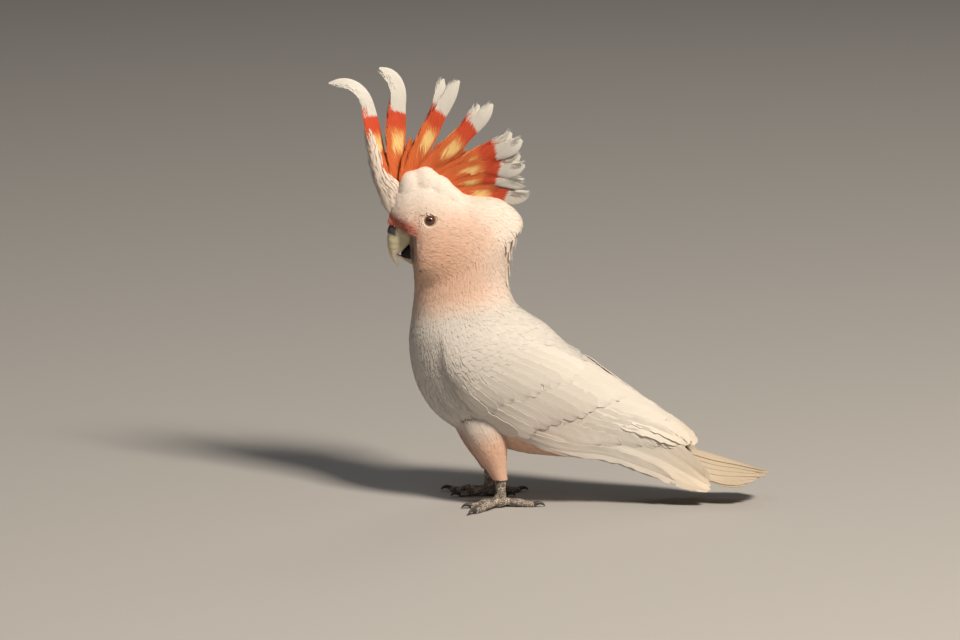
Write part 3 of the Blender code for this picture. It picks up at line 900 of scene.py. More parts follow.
def vane_sheet(points: Array, t: Array, w: Array, origin: Array, cut: QuillCut, rng: Rng,
               strip: tuple) -> Surface:
    """Open sheets of large feathers, one grid each, split at random from the edge in.

    Args:
        points: Feathers by rows by columns by 3.
        t: 0 at the root to 1 at the tip, for each row.
        w: -1 at one edge to 1 at the other, for each column.
        origin: The place along the shaft where each point's barb starts, in mm.
        cut: The shape, for its splits.
        rng: Where the splits come from.
        strip: The number of the first feather on the unwrap, and how many share it side by side.

    Returns:
        The surface, with its values and maps.
    """
    shape = count, rows, columns = points.shape[:3]
    along, side, origin = (np.broadcast_to(value, shape) for value in (t[:, None], w, origin))
    keep = np.ones((count, rows - 1, columns - 1), bool)
    for feather in range(count):
        for _ in range(rng.poisson(cut.splits)):
            row = rng.integers(int(rows * 0.35), rows - 2)
            depth = rng.integers(1, max(2, columns // 2))
            gap = slice(0, depth) if rng.random() < 0.5 else slice(columns - 1 - depth, columns)
            keep[feather, row, gap] = False
    number = np.arange(count)[:, None, None]
    quads = (number * rows * columns + grid_quads(rows, columns)[None]).reshape(-1, 4)
    number = number + strip[0]
    atlas = np.stack([(number + 0.5 + 0.42 * side) / strip[1], 0.02 + 0.96 * along], axis=-1)
    values = {"along": along, "side": side, "tone": np.broadcast_to(number * 0.618 % 1, shape),
              **Markings.at(points)}
    return Surface(points.reshape(-1, 3), quads[keep.reshape(-1)],
                   values={key: value.ravel() for key, value in values.items()},
                   maps={"OFBake": atlas.reshape(-1, 2),
                         "Vane": np.stack([origin / 10, side], axis=-1).reshape(-1, 2)})


def lay_quills(ground: Ground, roots: Roots, cut: QuillCut, rng: Rng, tilt: float,
               strip: tuple) -> Surface:
    """Large feathers that follow a ground, each a sheet with a raised shaft and swept barbs.

    Across the middle line the sheet falls with the camber and tilts, so that a neighbour can lie over one
    edge.

    Args:
        ground: What they lie on.
        roots: Where, and how large each is.
        cut: The shape that they share.
        rng: Where the splits come from.
        tilt: How much higher the edge of low b lies than the other one, in mm.
        strip: As for vane_sheet.

    Returns:
        Open sheets, to be given a thickness.
    """
    count = len(roots.a)
    t = np.linspace(0, 1, cut.rows) ** 0.92
    w = np.linspace(-1, 1, cut.columns)
    start = ground.frame(roots.a, roots.b)
    step = np.diff(t, prepend=0.0) * roots.length[:, None]
    turn = roots.turn[:, None]
    per_a, per_b = start.per_a[:, None], start.per_b[:, None]
    for _ in range(3):  # the ground's scale changes along a long feather, so its route is worked out again
        a = roots.a[:, None] + np.cumsum(step * np.cos(turn) / per_a, axis=1)
        b = roots.b[:, None] + np.cumsum(step * np.sin(turn) / per_b, axis=1)
        patch = ground.frame(a, b)
        per_a, per_b = patch.per_a, patch.per_b
    height = roots.root_height[:, None] + (roots.tip_height - roots.root_height)[:, None] * t
    middle = patch.point + patch.normal * height[..., None]
    ahead = unit(np.gradient(middle, axis=1))
    side = unit(np.cross(patch.normal, ahead))
    toward = np.sign(np.sum(side * patch.across, axis=-1))[..., None]  # the side of high b
    shares = np.interp(t, *zip(*cut.widths))[:, None]
    wide = roots.half_width[:, None, None] * shares * np.abs(w)
    wide = wide * (1 + 0.05 * rng.standard_normal((count, cut.rows, 1)) * np.abs(w) ** 2)
    sweep = wide * cut.barb * (1 - 0.5 * t[None, :, None])
    drop = cut.camber * roots.half_width[:, None, None] * w**2 + tilt * w / 2
    lift = cut.shaft * np.exp(-((w / 0.09) ** 2)) * (1 - 0.7 * t)[:, None]
    ripple = 0.16 * np.sin(t[None, :, None] * 40 + 5 * w + rng.uniform(0, 6, (count, 1, 1))) * np.abs(w)
    points = (middle[:, :, None] + (side * toward)[:, :, None] * (np.sign(w) * wide)[..., None]
              + ahead[:, :, None] * sweep[..., None]
              + patch.normal[:, :, None] * (lift[None] - drop + ripple)[..., None])
    return vane_sheet(points, t, w, roots.length[:, None, None] * t[:, None] - 1.5 * wide, cut, rng, strip)


def quill_piece(sheets: list, name: str, finish: Material, slot: str, nodes: list,
                thickness: float = 0.45) -> None:
    """Makes a piece of large feathers from their open sheets.

    Args:
        sheets: The surfaces, which Solidify gives a thickness.
        name: The piece's name.
        finish: As for show.
        slot: As for show.
        nodes: As for show.
        thickness: In mm.
    """
    raw = placed(name, Surface.joined(sheets).mesh(name))
    wall = raw.modifiers.new("wall", "SOLIDIFY")
    wall.thickness = thickness * MM
    wall.offset = 0.0
    mesh = shaped(raw, name)
    mesh.set_sharp_from_angle(angle=SHARP)
    show(placed(name, mesh), finish, slot, nodes)


# -------------------------------------------------------------------------------- finishes


Given = object  # a node's output socket, a number or a colour
BLACK, WHITE = (0.0, 0.0, 0.0), (1.0, 1.0, 1.0)


class Paint:
    """The node tree of a material or a node group, with a method for each kind of node in use."""

    def __init__(self, tree: bpy.types.NodeTree, shader: bpy.types.Node = None) -> None:
        """Keeps the tree, and the shader that a material's nodes feed."""
        self.tree = tree
        self.shader = shader

    def node(self, kind: str, *links: tuple, **settings: object) -> bpy.types.Node:
        """Adds a node of that kind.

        Args:
            kind: Its type's name, without ShaderNode.
            links: (input's name, output socket) pairs.
            settings: Values for its inputs or properties, by lower-case name.

        Returns:
            The node.
        """
        made = self.tree.nodes.new("ShaderNode" + kind)
        for key, value in settings.items():
            wanted = key.replace("_", " ")
            socket = next((s for s in made.inputs if s.name.lower() == wanted and s.enabled), None)
            if socket is None:
                setattr(made, key, value)
            else:
                socket.default_value = value
        for name, output in links:
            self.tree.links.new(output, made.inputs[name])
        return made

    def feed(self, socket: Socket, given: Given) -> None:
        """Links an output to an input, or sets the input to a number or a colour."""
        if isinstance(given, Socket):
            self.tree.links.new(given, socket)
        else:
            socket.default_value = (*given, 1.0) if isinstance(given, tuple) else given

    def value(self, name: str) -> Socket:
        """A value of the mesh, by name."""
        return self.node("Attribute", attribute_name=name).outputs["Fac"]

    def place(self) -> Socket:
        """The point itself, in metres in the object's own frame."""
        return self.node("TexCoord").outputs["Object"]

    def math(self, operation: str, *given: Given) -> Socket:
        """The result of a Math node."""
        made = self.node("Math", operation=operation)
        for socket, item in zip(made.inputs, given):
            self.feed(socket, item)
        return made.outputs[0]

    def times(self, first: Given, second: Given) -> Socket:
        """A product."""
        return self.math("MULTIPLY", first, second)

    def line(self, x: Given, slope: Given, base: float) -> Socket:
        """x times the slope, plus the base."""
        return self.math("MULTIPLY_ADD", x, slope, base)

    def mix(self, share: Given, first: Given, second: Given, blend: str = "MIX") -> Socket:
        """A colour between two."""
        made = self.node("Mix", data_type="RGBA", blend_type=blend)
        for index, given in ((0, share), (6, first), (7, second)):
            self.feed(made.inputs[index], given)
        return made.outputs[2]

    def toned(self, colour: Given, light: Given) -> Socket:
        """A colour times a grey."""
        return self.mix(1.0, colour, light, "MULTIPLY")

    def noise(self, place: Socket, scale: float, detail: float = 3.0, roughness: float = 0.5) -> Socket:
        """A Noise texture's value at a place."""
        made = self.node("TexNoise", ("Vector", place), scale=scale, detail=detail, roughness=roughness)
        return made.outputs["Fac"]

    def bands(self, place: Socket, *stops: tuple) -> Socket:
        """A colour that follows (place, colour) stops."""
        ramp = self.node("ValToRGB", ("Fac", place))
        scale = ramp.color_ramp.elements
        while len(scale) < len(stops):
            scale.new(0.5)
        for element, (at, colour) in zip(scale, stops):
            element.position = at
            element.color = (*colour, 1.0)
        return ramp.outputs["Color"]

    def relief(self, height: Socket, strength: float, distance: float = 0.0002) -> None:
        """Bumps the shader's normal by a height; distance is in metres."""
        made = self.node("Bump", ("Height", height), strength=strength, distance=distance)
        self.feed(self.shader.inputs["Normal"], made.outputs[0])

    def strands(self, place: Socket, lines: float, ridges: float) -> tuple:
        """The streak and the ridge of the barbs at a place."""
        made = self.node("Group", ("Place", place), node_tree=strand_lines(), lines=lines, ridges=ridges)
        return made.outputs["Streak"], made.outputs["Ridge"]

    def vane_place(self, squeeze: float) -> Socket:
        """The barbs' place on a large feather: its own map, with the distance from the shaft squeezed."""
        parts = self.node("SeparateXYZ", ("Vector", self.node("UVMap", uv_map="Vane").outputs["UV"]))
        across = self.times(parts.outputs["Y"], squeeze)
        own = self.times(self.value("tone"), 40.0)
        return self.node("CombineXYZ", ("X", parts.outputs["X"]), ("Y", across), ("Z", own)).outputs[0]

    def barb_light(self, streak: Socket, own: Socket, spread: float) -> Socket:
        """A grey that is streaked along the barbs and differs a little from feather to feather."""
        return self.times(self.line(streak, 0.20, 0.84), self.line(own, spread, 0.95))


def strand_lines() -> bpy.types.NodeTree:
    """The node group of barbs, for small and large feathers.

    It takes a place (along the barbs' origin, across, feather's own number) and puts out Streak, uneven
    lines that run with the barbs, and Ridge, finer ones for relief.
    """
    name = "strand lines"
    if name in bpy.data.node_groups:
        return bpy.data.node_groups[name]
    group = bpy.data.node_groups.new(name, "ShaderNodeTree")
    for label in ("Lines", "Ridges"):
        group.interface.new_socket(label, in_out="INPUT", socket_type="NodeSocketFloat")
    group.interface.new_socket("Place", in_out="INPUT", socket_type="NodeSocketVector")
    for label in ("Streak", "Ridge"):
        group.interface.new_socket(label, in_out="OUTPUT", socket_type="NodeSocketFloat")
    start, end = group.nodes.new("NodeGroupInput"), group.nodes.new("NodeGroupOutput")
    paint = Paint(group)
    for label, source, detail in (("Streak", "Lines", 4.0), ("Ridge", "Ridges", 2.0)):
        lines = paint.node("TexNoise", ("Vector", start.outputs["Place"]), ("Scale", start.outputs[source]),
                           detail=detail, roughness=0.6)
        paint.feed(end.inputs[label], lines.outputs["Fac"])
    return group


@dataclass(frozen=True)
class Finish:
    """What every finish has: a name, and the constants of its shader."""

    name: str
    roughness: float = 0.6
    specular: float = 0.35
    sheen: float = 0.0

    def build(self) -> Material:
        """The material."""
        made = bpy.data.materials.new(self.name)
        made.use_nodes = True
        paint = Paint(made.node_tree, made.node_tree.nodes["Principled BSDF"])
        for label, given in (("Roughness", self.roughness), ("Specular IOR Level", self.specular),
                             ("Sheen Weight", self.sheen), ("Base Color", self.dress(paint))):
            if not paint.shader.inputs[label].is_linked:
                paint.feed(paint.shader.inputs[label], given)
        return made

    def dress(self, paint: Paint) -> Given:
        """Adds the finish's nodes and returns its colour."""
        raise NotImplementedError


@dataclass(frozen=True)
class PlumageFinish(Finish):
    """Small feathers and the skin beneath them: white, salmon, rust and cream where the markings say."""

    name: str = "plumage"
    roughness: float = 0.75
    specular: float = 0.2
    sheen: float = 0.2
    white: tuple = (0.84, 0.79, 0.73)
    # body: the body's greyer white, partly its own colour and partly painted shade where the body lies less
    # in the light
    body: tuple = (0.665, 0.64, 0.61)
    salmon: tuple = (0.78, 0.40, 0.25)
    rust: tuple = (0.50, 0.085, 0.045)
    cream: tuple = (0.84, 0.68, 0.45)
    # gape: the bare skin's grey-brown, darkened with painted shade between bill and cheek
    gape: tuple = (0.30, 0.20, 0.15)
    shade: tuple = (0.70, 0.45, 0.36)
    root_shade: float = 0.18

    def dress(self, paint: Paint) -> Socket:
        """Colours by the markings, deeper towards the root, streaked along the barbs."""
        along, side, own = (paint.value(name) for name in ("along", "side", "tone"))
        # the body's white is darker than the head's: partly its own colour, partly painted shade
        white = paint.mix(paint.value("pale"), self.white, self.body)
        colour = paint.mix(paint.value("blush"), white, self.salmon)
        colour = paint.mix(paint.value("cream"), colour, self.cream)
        near_root = paint.times(paint.math("SUBTRACT", 1.0, along), self.root_shade)
        colour = paint.mix(near_root, colour, self.shade)
        rust = paint.times(paint.value("rust"), paint.line(own, 0.4, 0.7))
        colour = paint.mix(rust, colour, self.rust)
        colour = paint.mix(paint.value("gape"), colour, self.gape)
        slant = paint.math("SUBTRACT", paint.times(side, 2.2), paint.times(along, 0.5))
        place = paint.node("CombineXYZ", ("X", slant), ("Y", paint.times(along, 0.7)),
                           ("Z", paint.times(own, 60.0)))
        streak, _ = paint.strands(place.outputs[0], 3.0, 8.0)
        return paint.toned(colour, paint.barb_light(streak, own, 0.07))


@dataclass(frozen=True)
class QuillFinish(Finish):
    """Large feathers of the wings and tail: white with fine barbs, warmer towards the tail."""

    name: str = "quill vanes"
    roughness: float = 0.55
    sheen: float = 0.15
    white: tuple = (0.72, 0.685, 0.635)
    cream: tuple = (0.68, 0.54, 0.37)
    blush: tuple = (0.70, 0.36, 0.28)

    def dress(self, paint: Paint) -> Socket:
        """Colours by the markings, streaked and ridged along the barbs."""
        streak, ridge = paint.strands(paint.vane_place(0.35), 7.0, 26.0)
        colour = paint.mix(paint.value("cream"), self.white, self.cream)
        colour = paint.mix(paint.times(paint.value("blush"), 0.15), colour, self.blush)
        paint.relief(ridge, 0.5)
        return paint.toned(colour, paint.barb_light(streak, paint.value("tone"), 0.06))


@dataclass(frozen=True)
class CrestFinish(Finish):
    """Crest feathers: orange-red at the foot, a yellow window, a red band, and a long white tip.

    foot_end to tip_start are values of band, which is 0 at the root and 0.8 where the white starts.
    """

    name: str = "crest vanes"
    sheen: float = 0.2
    foot: tuple = (0.66, 0.135, 0.03)
    window: tuple = (0.90, 0.62, 0.24)
    band: tuple = (0.60, 0.065, 0.018)
    tip: tuple = (0.67, 0.645, 0.60)
    foot_end: float = 0.62
    band_start: float = 0.66
    band_end: float = 0.785
    tip_start: float = 0.805

    def dress(self, paint: Paint) -> Socket:
        """Bands broken by streaks along the barbs; the window lies between the shaft and each edge."""
        streak, ridge = paint.strands(paint.vane_place(0.25), 10.0, 22.0)
        uneven = paint.math("SUBTRACT", streak, 0.5)
        place = paint.value("band")
        bands = paint.bands(paint.line(uneven, 0.10, place), (0.0, self.foot), (self.foot_end, self.foot),
                            (self.band_start, self.band), (self.band_end, self.band),
                            (self.tip_start, self.tip), (1.0, self.tip))
        loose = paint.line(uneven, 0.5, place)
        out = paint.math("ABSOLUTE", paint.value("side"))
        inside = paint.line(uneven, 0.5, paint.math("ABSOLUTE", paint.math("SUBTRACT", out, 0.45)))
        window = paint.times(paint.bands(loose, (0.38, BLACK), (0.46, WHITE), (0.56, WHITE), (0.61, BLACK)),
                             paint.bands(inside, (0.24, WHITE), (0.36, BLACK)))
        colour = paint.mix(window, bands, self.window)
        red = paint.math("LESS_THAN", place, 0.79)
        paint.relief(ridge, 0.5, 0.0003)
        return paint.toned(colour, paint.line(uneven, paint.line(red, 0.9, 0.45), 0.97))


@dataclass(frozen=True)
class HornFinish(Finish):
    """Horn of a bill or claw: uneven layers, flaked and scuffed, satin; grown into cere where cere is 1,
    whose near-black is partly the cere's own dark grey and partly painted shade.
    """

    pale: tuple = (0.6, 0.6, 0.5)
    dark: tuple = (0.4, 0.4, 0.3)
    tint: tuple = (0.5, 0.4, 0.3)
    # cere: near-black, partly the cere's own dark grey and partly painted shade; also the colour of the dark
    # flakes
    cere: tuple = (0.07, 0.065, 0.07)

    def dress(self, paint: Paint) -> Socket:
        """Broad patches, fine layers and small dark flakes."""
        place = paint.place()
        layers = paint.node("Mapping", ("Vector", place), scale=(1.0, 0.25, 1.0)).outputs[0]
        fine = paint.noise(layers, 900.0, 4.0, 0.7)
        colour = paint.mix(paint.noise(place, 150.0, 5.0, 0.6), self.dark, self.pale)
        colour = paint.mix(paint.value("warmth"), colour, self.tint)
        flakes = paint.bands(paint.noise(place, 700.0, 4.0, 0.6), (0.60, BLACK), (0.68, WHITE))
        colour = paint.mix(paint.times(flakes, paint.value("flaked")), colour, self.cere)
        # painted shade over the cere's own dark grey
        colour = paint.mix(paint.value("cere"), colour, self.cere)
        paint.feed(paint.shader.inputs["Roughness"], paint.line(fine, 0.3, self.roughness - 0.1))
        paint.relief(fine, 0.4)
        return paint.toned(colour, paint.line(fine, 0.4, 0.78))


@dataclass(frozen=True)
class ScalySkinFinish(Finish):
    """Bare skin of the legs: small grey scales with pale dust on them and dark lines between."""

    name: str = "leg skin"
    roughness: float = 0.75
    grey: tuple = (0.20, 0.185, 0.175)
    dust: tuple = (0.68, 0.58, 0.45)
    line: tuple = (0.06, 0.05, 0.05)

    def dress(self, paint: Paint) -> Socket:
        """Cells with grooves between, dustier in patches."""
        place = paint.place()
        cells = paint.node("TexVoronoi", ("Vector", place), scale=620.0, feature="DISTANCE_TO_EDGE")
        groove = paint.math("MINIMUM", paint.times(cells.outputs["Distance"], 5.0), 1.0)
        tint = paint.bands(paint.noise(place, 260.0, 4.0), (0.35, self.grey), (0.65, self.dust))
        paint.relief(groove, 0.7, 0.0004)
        return paint.mix(paint.math("SUBTRACT", 1.0, groove), tint, self.line)


@dataclass(frozen=True)
class LidFinish(Finish):
    """The bare ring round an eye: faintly pink, with a painted highlight on its ridges and painted shade in
    its creases.
    """

    name: str = "eye ring"
    skin: tuple = (0.78, 0.58, 0.46)
    pale: tuple = (0.86, 0.80, 0.70)
    crease: tuple = (0.16, 0.09, 0.06)

    def dress(self, paint: Paint) -> Socket:
        """Painted shade in the creases where fold is high, a painted highlight where ridge is, and fine
        grain.
        """
        grain = paint.noise(paint.place(), 1300.0)
        colour = paint.mix(paint.value("ridge"), self.skin, self.pale)
        colour = paint.mix(paint.value("fold"), colour, self.crease)
        paint.relief(grain, 0.5)
        return paint.mix(paint.times(grain, 0.12), colour, self.crease)


@dataclass(frozen=True)
class EyeFinish(Finish):
    """A wet eyeball: black pupil, red-brown iris with fine rays, dark rim."""

    name: str = "eyeball"
    roughness: float = 0.25
    pupil: tuple = (0.003, 0.002, 0.002)
    inner: tuple = (0.105, 0.030, 0.014)
    outer: tuple = (0.05, 0.014, 0.009)
    rim: tuple = (0.008, 0.005, 0.005)

    def dress(self, paint: Paint) -> Socket:
        """Rings about the axis, by the value polar, under a clear coat."""
        paint.shader.inputs["Coat Weight"].default_value = 1.0
        paint.shader.inputs["Coat Roughness"].default_value = 0.02
        rays = paint.noise(paint.node("UVMap", uv_map="Iris").outputs["UV"], 1.0)
        place = paint.math("ADD", paint.value("polar"), paint.line(rays, 0.06, -0.03))
        return paint.bands(place, (0.0, self.pupil), (0.115, self.pupil), (0.14, self.outer),
                           (0.27, self.inner), (0.42, self.inner), (0.50, self.outer), (0.56, self.rim),
                           (1.0, self.rim))


@dataclass(frozen=True)
class PlainFinish(Finish):
    """One colour all over."""

    colour: tuple = (0.42, 0.41, 0.40)

    def dress(self, paint: Paint) -> Given:
        """The colour itself."""
        return self.colour


# -------------------------------------------------------------------------------- skin, eyes, bill


@dataclass
class Skin:
    """The skin under the plumage from the bill's base to the root of the tail, and down the thighs."""

    stations: int = 130
    around: int = 160
    last: float = 19.6
    thigh_depth: float = 2.2
    tail_depth: float = 16.0
    socket_depth: float = 5.0

    def body(self) -> Surface:
        """Rings of the coat's ground drawn in by the coat's depth, tapering to the root of the tail."""
        a = np.linspace(0.03, self.last, self.stations)[:, None]
        b = np.linspace(0, 360, self.around, endpoint=False)[None, :]
        a, b = np.broadcast_arrays(a, b)
        patch = COAT.frame(a, b)
        depth = coat_depth(a, b) + self.tail_depth * step_up(a, 16.5, 20.0)
        depth = depth + wing_rise(a, b) * step_up(a, 16.0, 18.0)
        rings = patch.point - patch.normal * depth[..., None]
        far = eye_distance(patch.point)
        rings = rings - patch.normal * (self.socket_depth * step_up(far, 8.5, 6.0))[..., None]
        return tube(rings, Markings.at(rings), inside_out=True)

    def thigh(self, limb: Limb) -> Surface:
        """Rings of one thigh's outline drawn in by the coat's depth."""
        ground = ThighGround(limb)
        a, b = np.broadcast_arrays(np.linspace(0.1, 4.0, 30)[:, None],
                                   np.linspace(0, 360, 40, endpoint=False))
        patch = ground.frame(a, b)
        depth = self.thigh_depth * step_up(4.15 - a, 0.0, 1.5)
        rings = patch.point - patch.normal * depth[..., None]
        return tube(rings, Markings.at(rings), inside_out=limb.side is Side.LEFT)

    def build(self, finish: Material, limbs: list) -> None:
        """The body and both thighs in one piece."""
        parts = [self.body()] + [self.thigh(limb) for limb in limbs]
        nodes = ["head", "neck", "trunk"] + [f"{limb.side.word}_thigh" for limb in limbs]
        Surface.joined(parts).piece("skin", finish, "pink_plumage", nodes)


def eye_distance(points: Array) -> Array:
    """The distance of each point from the nearer eye's centre."""
    x, y, z = np.moveaxis(points, -1, 0)
    return np.sqrt((x - EYE.x) ** 2 + (np.abs(y) - EYE.y) ** 2 + (z - EYE.z) ** 2)


@dataclass
class EyeSocket:
    """One eye: a ball with a domed cornea, looking out and a little ahead, and the bare ring round it.

    The ring runs from inner to outer and rests on a ball of radius seat. Its creases start and end between
    the two distances of each pair, and crease_height is their height behind the eye and what is added ahead
    of it.
    """

    side: Side
    radius: float = 5.4
    cornea: float = 0.5
    inner: float = 4.7
    outer: float = 10.8
    seat: float = 5.5
    crease_start: tuple = (5.3, 6.2)
    crease_end: tuple = (9.6, 8.8)
    crease_height: tuple = (0.06, 0.20)
    border_sink: float = 1.2

    def __post_init__(self) -> None:
        """Works out the eye's axis, the directions across it and its centre."""
        self.axis = unit(np.array((-0.05, self.side.value, 0.16)))
        self.right = unit(np.cross(self.axis, (0, 0, 1.0))) * self.side.value
        self.up = np.array((0, 0, 1.0)) - self.axis * self.axis[2]
        self.centre = np.array((EYE.x, self.side.value * EYE.y, EYE.z))

    def ball(self, finish: Material) -> None:
        """Rings of a ball about the axis, with the cornea's bulge added near it."""
        polar = np.linspace(0.0, 1.0, 40)[:, None] ** 1.2 * math.pi * 0.985 + 0.01
        turn = np.linspace(0, 2 * math.pi, 48, endpoint=False)[None, :]
        radius = self.radius + self.cornea * bump(polar, 0, 0.45) - 0.2
        across = [np.cos(turn) * self.right[k] + np.sin(turn) * self.up[k] for k in range(3)]
        out = [np.cos(polar) * self.axis[k] + np.sin(polar) * across[k] for k in range(3)]
        rings = self.centre + np.stack(out, axis=-1) * radius[..., None]
        share = np.broadcast_to(polar / math.pi * 2, rings.shape[:2])
        ball = tube(rings, {"polar": share}, inside_out=self.side is Side.RIGHT)
        iris = np.stack(np.broadcast_arrays(np.cos(turn) * 6 + 0 * polar, np.sin(turn) * 6 + polar), axis=-1)
        ball.maps["Iris"] = np.concatenate([iris.reshape(-1, 2), iris[0, :1], iris[-1, :1]])
        name = f"eye_{self.side.word}"
        ball.piece(f"{name}_ball", finish, "eye", [name])

    def ring(self, finish: Material) -> None:
        """A disc with a hole, laid over the head's form and raised to meet the ball at the hole."""
        r = np.concatenate([[self.inner - 0.9, self.inner - 0.3],
                            np.linspace(self.inner, self.outer, 56)])[:, None]
        turn = np.linspace(0, 2 * math.pi, 160, endpoint=False)[None, :]
        r, turn = np.broadcast_arrays(r, turn)
        narrow = 1 - 0.05 * np.abs(np.sin(turn)) * step_up(r, 6.5, 4.0)
        x, z = r * np.cos(turn), r * np.sin(turn) * narrow
        flat = self.centre + x[..., None] * self.right + z[..., None] * self.up
        head_out = self.height_of_head(flat)
        ball_out = np.sqrt(np.maximum(self.seat**2 - x**2 - z**2, 0.0))
        lid = step_up(r, 6.7, self.inner)
        out = head_out * (1 - lid) + np.maximum(ball_out, head_out - 0.8) * lid
        rim = 0.12 * bump(r, self.inner + 0.3, 0.2) - 0.6 * step_up(r, self.inner, self.inner - 0.9)
        # the creases are deepest ahead of the eye and below it
        front = step_up(-np.cos(turn + 0.35), -0.1, 0.8)
        wander = 1.6 * np.sin(turn * 2 + 0.6) + 1.2 * np.sin(turn * 6 + r * 1.7)
        wander = wander + 0.9 * np.sin(turn * 14 - r * 2.3)
        waves = np.sin(r * 6.0 + wander) * step_up(r, *self.crease_start) * step_up(r, *self.crease_end)
        waves = waves * (0.65 + 0.35 * np.sin(turn * 23 + 5 * np.sin(r * 3)))
        out = out + rim + waves * (self.crease_height[0] + self.crease_height[1] * front)
        out = out - self.border_sink * step_up(r, self.outer - 1.0, self.outer)
        points = flat + out[..., None] * self.axis
        # dark is painted shade in the creases, most ahead of the eye, with a dark line at the lid's edge;
        # ridge is a painted highlight on the ridges
        dark = np.clip(-waves * 2.6 - 0.5, 0, 1) * (0.1 + 0.9 * front) * (0.6 + 0.4 * np.sin(turn * 5 + r))
        dark = dark + bump(r, self.inner, 0.25)
        quads = grid_quads(*r.shape, ring=True)
        made = Surface(points.reshape(-1, 3), quads if self.side is Side.RIGHT else quads[:, ::-1],
                       values={"fold": np.clip(dark, 0, 1).ravel(),
                               "ridge": (np.clip(waves, 0, 1) * (0.2 + 0.8 * front)).ravel()})
        made.piece(f"eye_ring_{self.side.word}", finish, "pink_plumage", [])

    def height_of_head(self, flat: Array) -> Array:
        """How far the coat's form lies out along the axis above each flat point, by a plane fitted there."""
        a, b = EYE_PLACE
        here = FORM.frame(np.array([a]), np.array([b if self.side is Side.LEFT else 360 - b]))
        normal = here.normal[0]
        out = ((here.point[0] - normal * 0.3 - flat) @ normal) / (self.axis @ normal)
        return out - np.sum((flat - self.centre) ** 2, axis=-1) / 80


@dataclass
class Bill:
    """The hooked upper bill with its cere, the scoop of the lower bill, and the dark tongue between."""

    upper: tuple = (
        ((-88.5, 233.5), (-68.0, 224.0), 8.0),
        ((-91.2, 227.5), (-69.5, 221.5), 8.3),
        ((-92.3, 219.8), (-72.2, 217.4), 8.0),
        ((-92.0, 213.2), (-76.0, 213.0), 7.1),
        ((-91.0, 208.3), (-80.6, 209.2), 5.7),
        ((-89.6, 204.4), (-84.4, 205.8), 4.1),
        ((-87.4, 200.4), (-84.4, 201.6), 2.5),
        ((-83.6, 196.2), (-82.8, 197.0), 0.7),
    )
    lower: tuple = (
        ((-66.5, 208.6), (-66.5, 197.0), 7.0),
        ((-71.8, 205.6), (-71.6, 198.0), 7.0),
        ((-76.6, 204.6), (-76.0, 200.4), 6.2),
        ((-81.4, 205.2), (-80.8, 202.8), 4.6),
        ((-84.4, 206.4), (-84.1, 205.4), 3.0),
    )
    tongue: tuple = (((-64.5, 221.0), (-64.5, 200.0), 7.4), ((-71.0, 218.0), (-71.0, 202.0), 7.4),
                     ((-75.5, 213.6), (-75.5, 203.0), 6.0), ((-78.8, 210.4), (-78.6, 203.8), 4.4),
                     ((-81.0, 207.8), (-80.8, 205.2), 2.6))
    layer_rise: float = 0.09
    cere_rise: float = 0.5
    nostril_depth: float = 0.9

    @staticmethod
    def rings(stations: tuple, count: int, sides: int, hollow: float, keel: float) -> tuple:
        """Rings between the outer edge and the inner edge of each station.

        Args:
            stations: (outer edge, inner edge, half width), from the root to the tip.
            count: How many rings.
            sides: How many points a ring has.
            hollow: How far the inner face is drawn in, as a share of the depth.
            keel: How much narrower the outer edge is than an oval's.

        Returns:
            Rings by sides by 3, the place along and the angle of each point.
        """
        rows = smooth([(*outer, *inner, width) for outer, inner, width in stations],
                      np.linspace(0, len(stations) - 1, count))
        angle = np.arange(sides) * 2 * math.pi / sides
        along = np.cos(angle)
        across = np.sign(np.sin(angle)) * np.abs(np.sin(angle)) ** np.where(along < 0, 0.38, 0.8)
        depth = np.where(along < 0, along * (1 - hollow * (1 - np.abs(across)) ** 2), along)
        wide = across * (1 - keel * np.clip(along, 0, 1) ** 2) * (1 + 0.22 * np.clip(-along, 0, 1))
        x = (rows[:, :1] + rows[:, 2:3]) / 2 + (rows[:, :1] - rows[:, 2:3]) / 2 * depth
        z = (rows[:, 1:2] + rows[:, 3:4]) / 2 + (rows[:, 1:2] - rows[:, 3:4]) / 2 * depth
        place = np.broadcast_to(np.linspace(0, 1, count)[:, None], x.shape)
        return xyz(x, rows[:, 4:5] * wide, z), place, np.broadcast_to(angle, x.shape)

    def build(self, horn: Material, dark: Material) -> None:
        """Three pieces: upper bill, lower bill and tongue."""
        for name, stations, hollow, keel, finish, slot in (
                ("bill_upper", self.upper, 0.5, 0.22, horn, "horn"),
                ("bill_lower", self.lower, 0.1, 0.0, horn, "horn"),
                ("tongue", self.tongue, 0.0, 0.0, dark, "tongue")):
            rings, place, angle = self.rings(stations, 70, 80, hollow, keel)
            layers = self.layer_rise * np.sin(place * 46 + 0.6 * np.sin(angle * 2)) * bump(place, 0.4, 0.3)
            cere = (step_up(rings[..., 2] + 0.25 * (rings[..., 0] + 90), 223.0, 224.6)
                    * step_up(rings[..., 0], -83.0, -86.0)) * (name == "bill_upper")
            nostril = bump(np.abs(np.sin(angle)), 0.72, 0.10) * bump(place, 0.07, 0.025)
            nostril = nostril * (np.cos(angle) > 0)
            rings = rings + unit(rings - rings.mean(axis=1, keepdims=True)) * (
                layers + self.cere_rise * cere - self.nostril_depth * nostril * cere)[..., None]
            values = {"warmth": step_up(place, 0.35, 0.75), "cere": cere,
                      "flaked": bump(place, 0.22, 0.10) * 0.9}
            tube(rings, values, inside_out=True).piece(f"{name}_horn", finish, slot, [name])


# -------------------------------------------------------------------------------- coat


class Stretch(NamedTuple):
    """Feathers from one station of the body to another, between two angles from the back.

    spacing is the distance between roots, length what the feathers have at the first station and the last,
    wander how unevenly they point, in radians, and lift how high their tips stand.
    """

    first: float
    last: float
    spacing: float
    length: tuple
    half_width: float
    wander: float
    lift: float = 0.0
    angles: tuple = (0.0, 360.0)


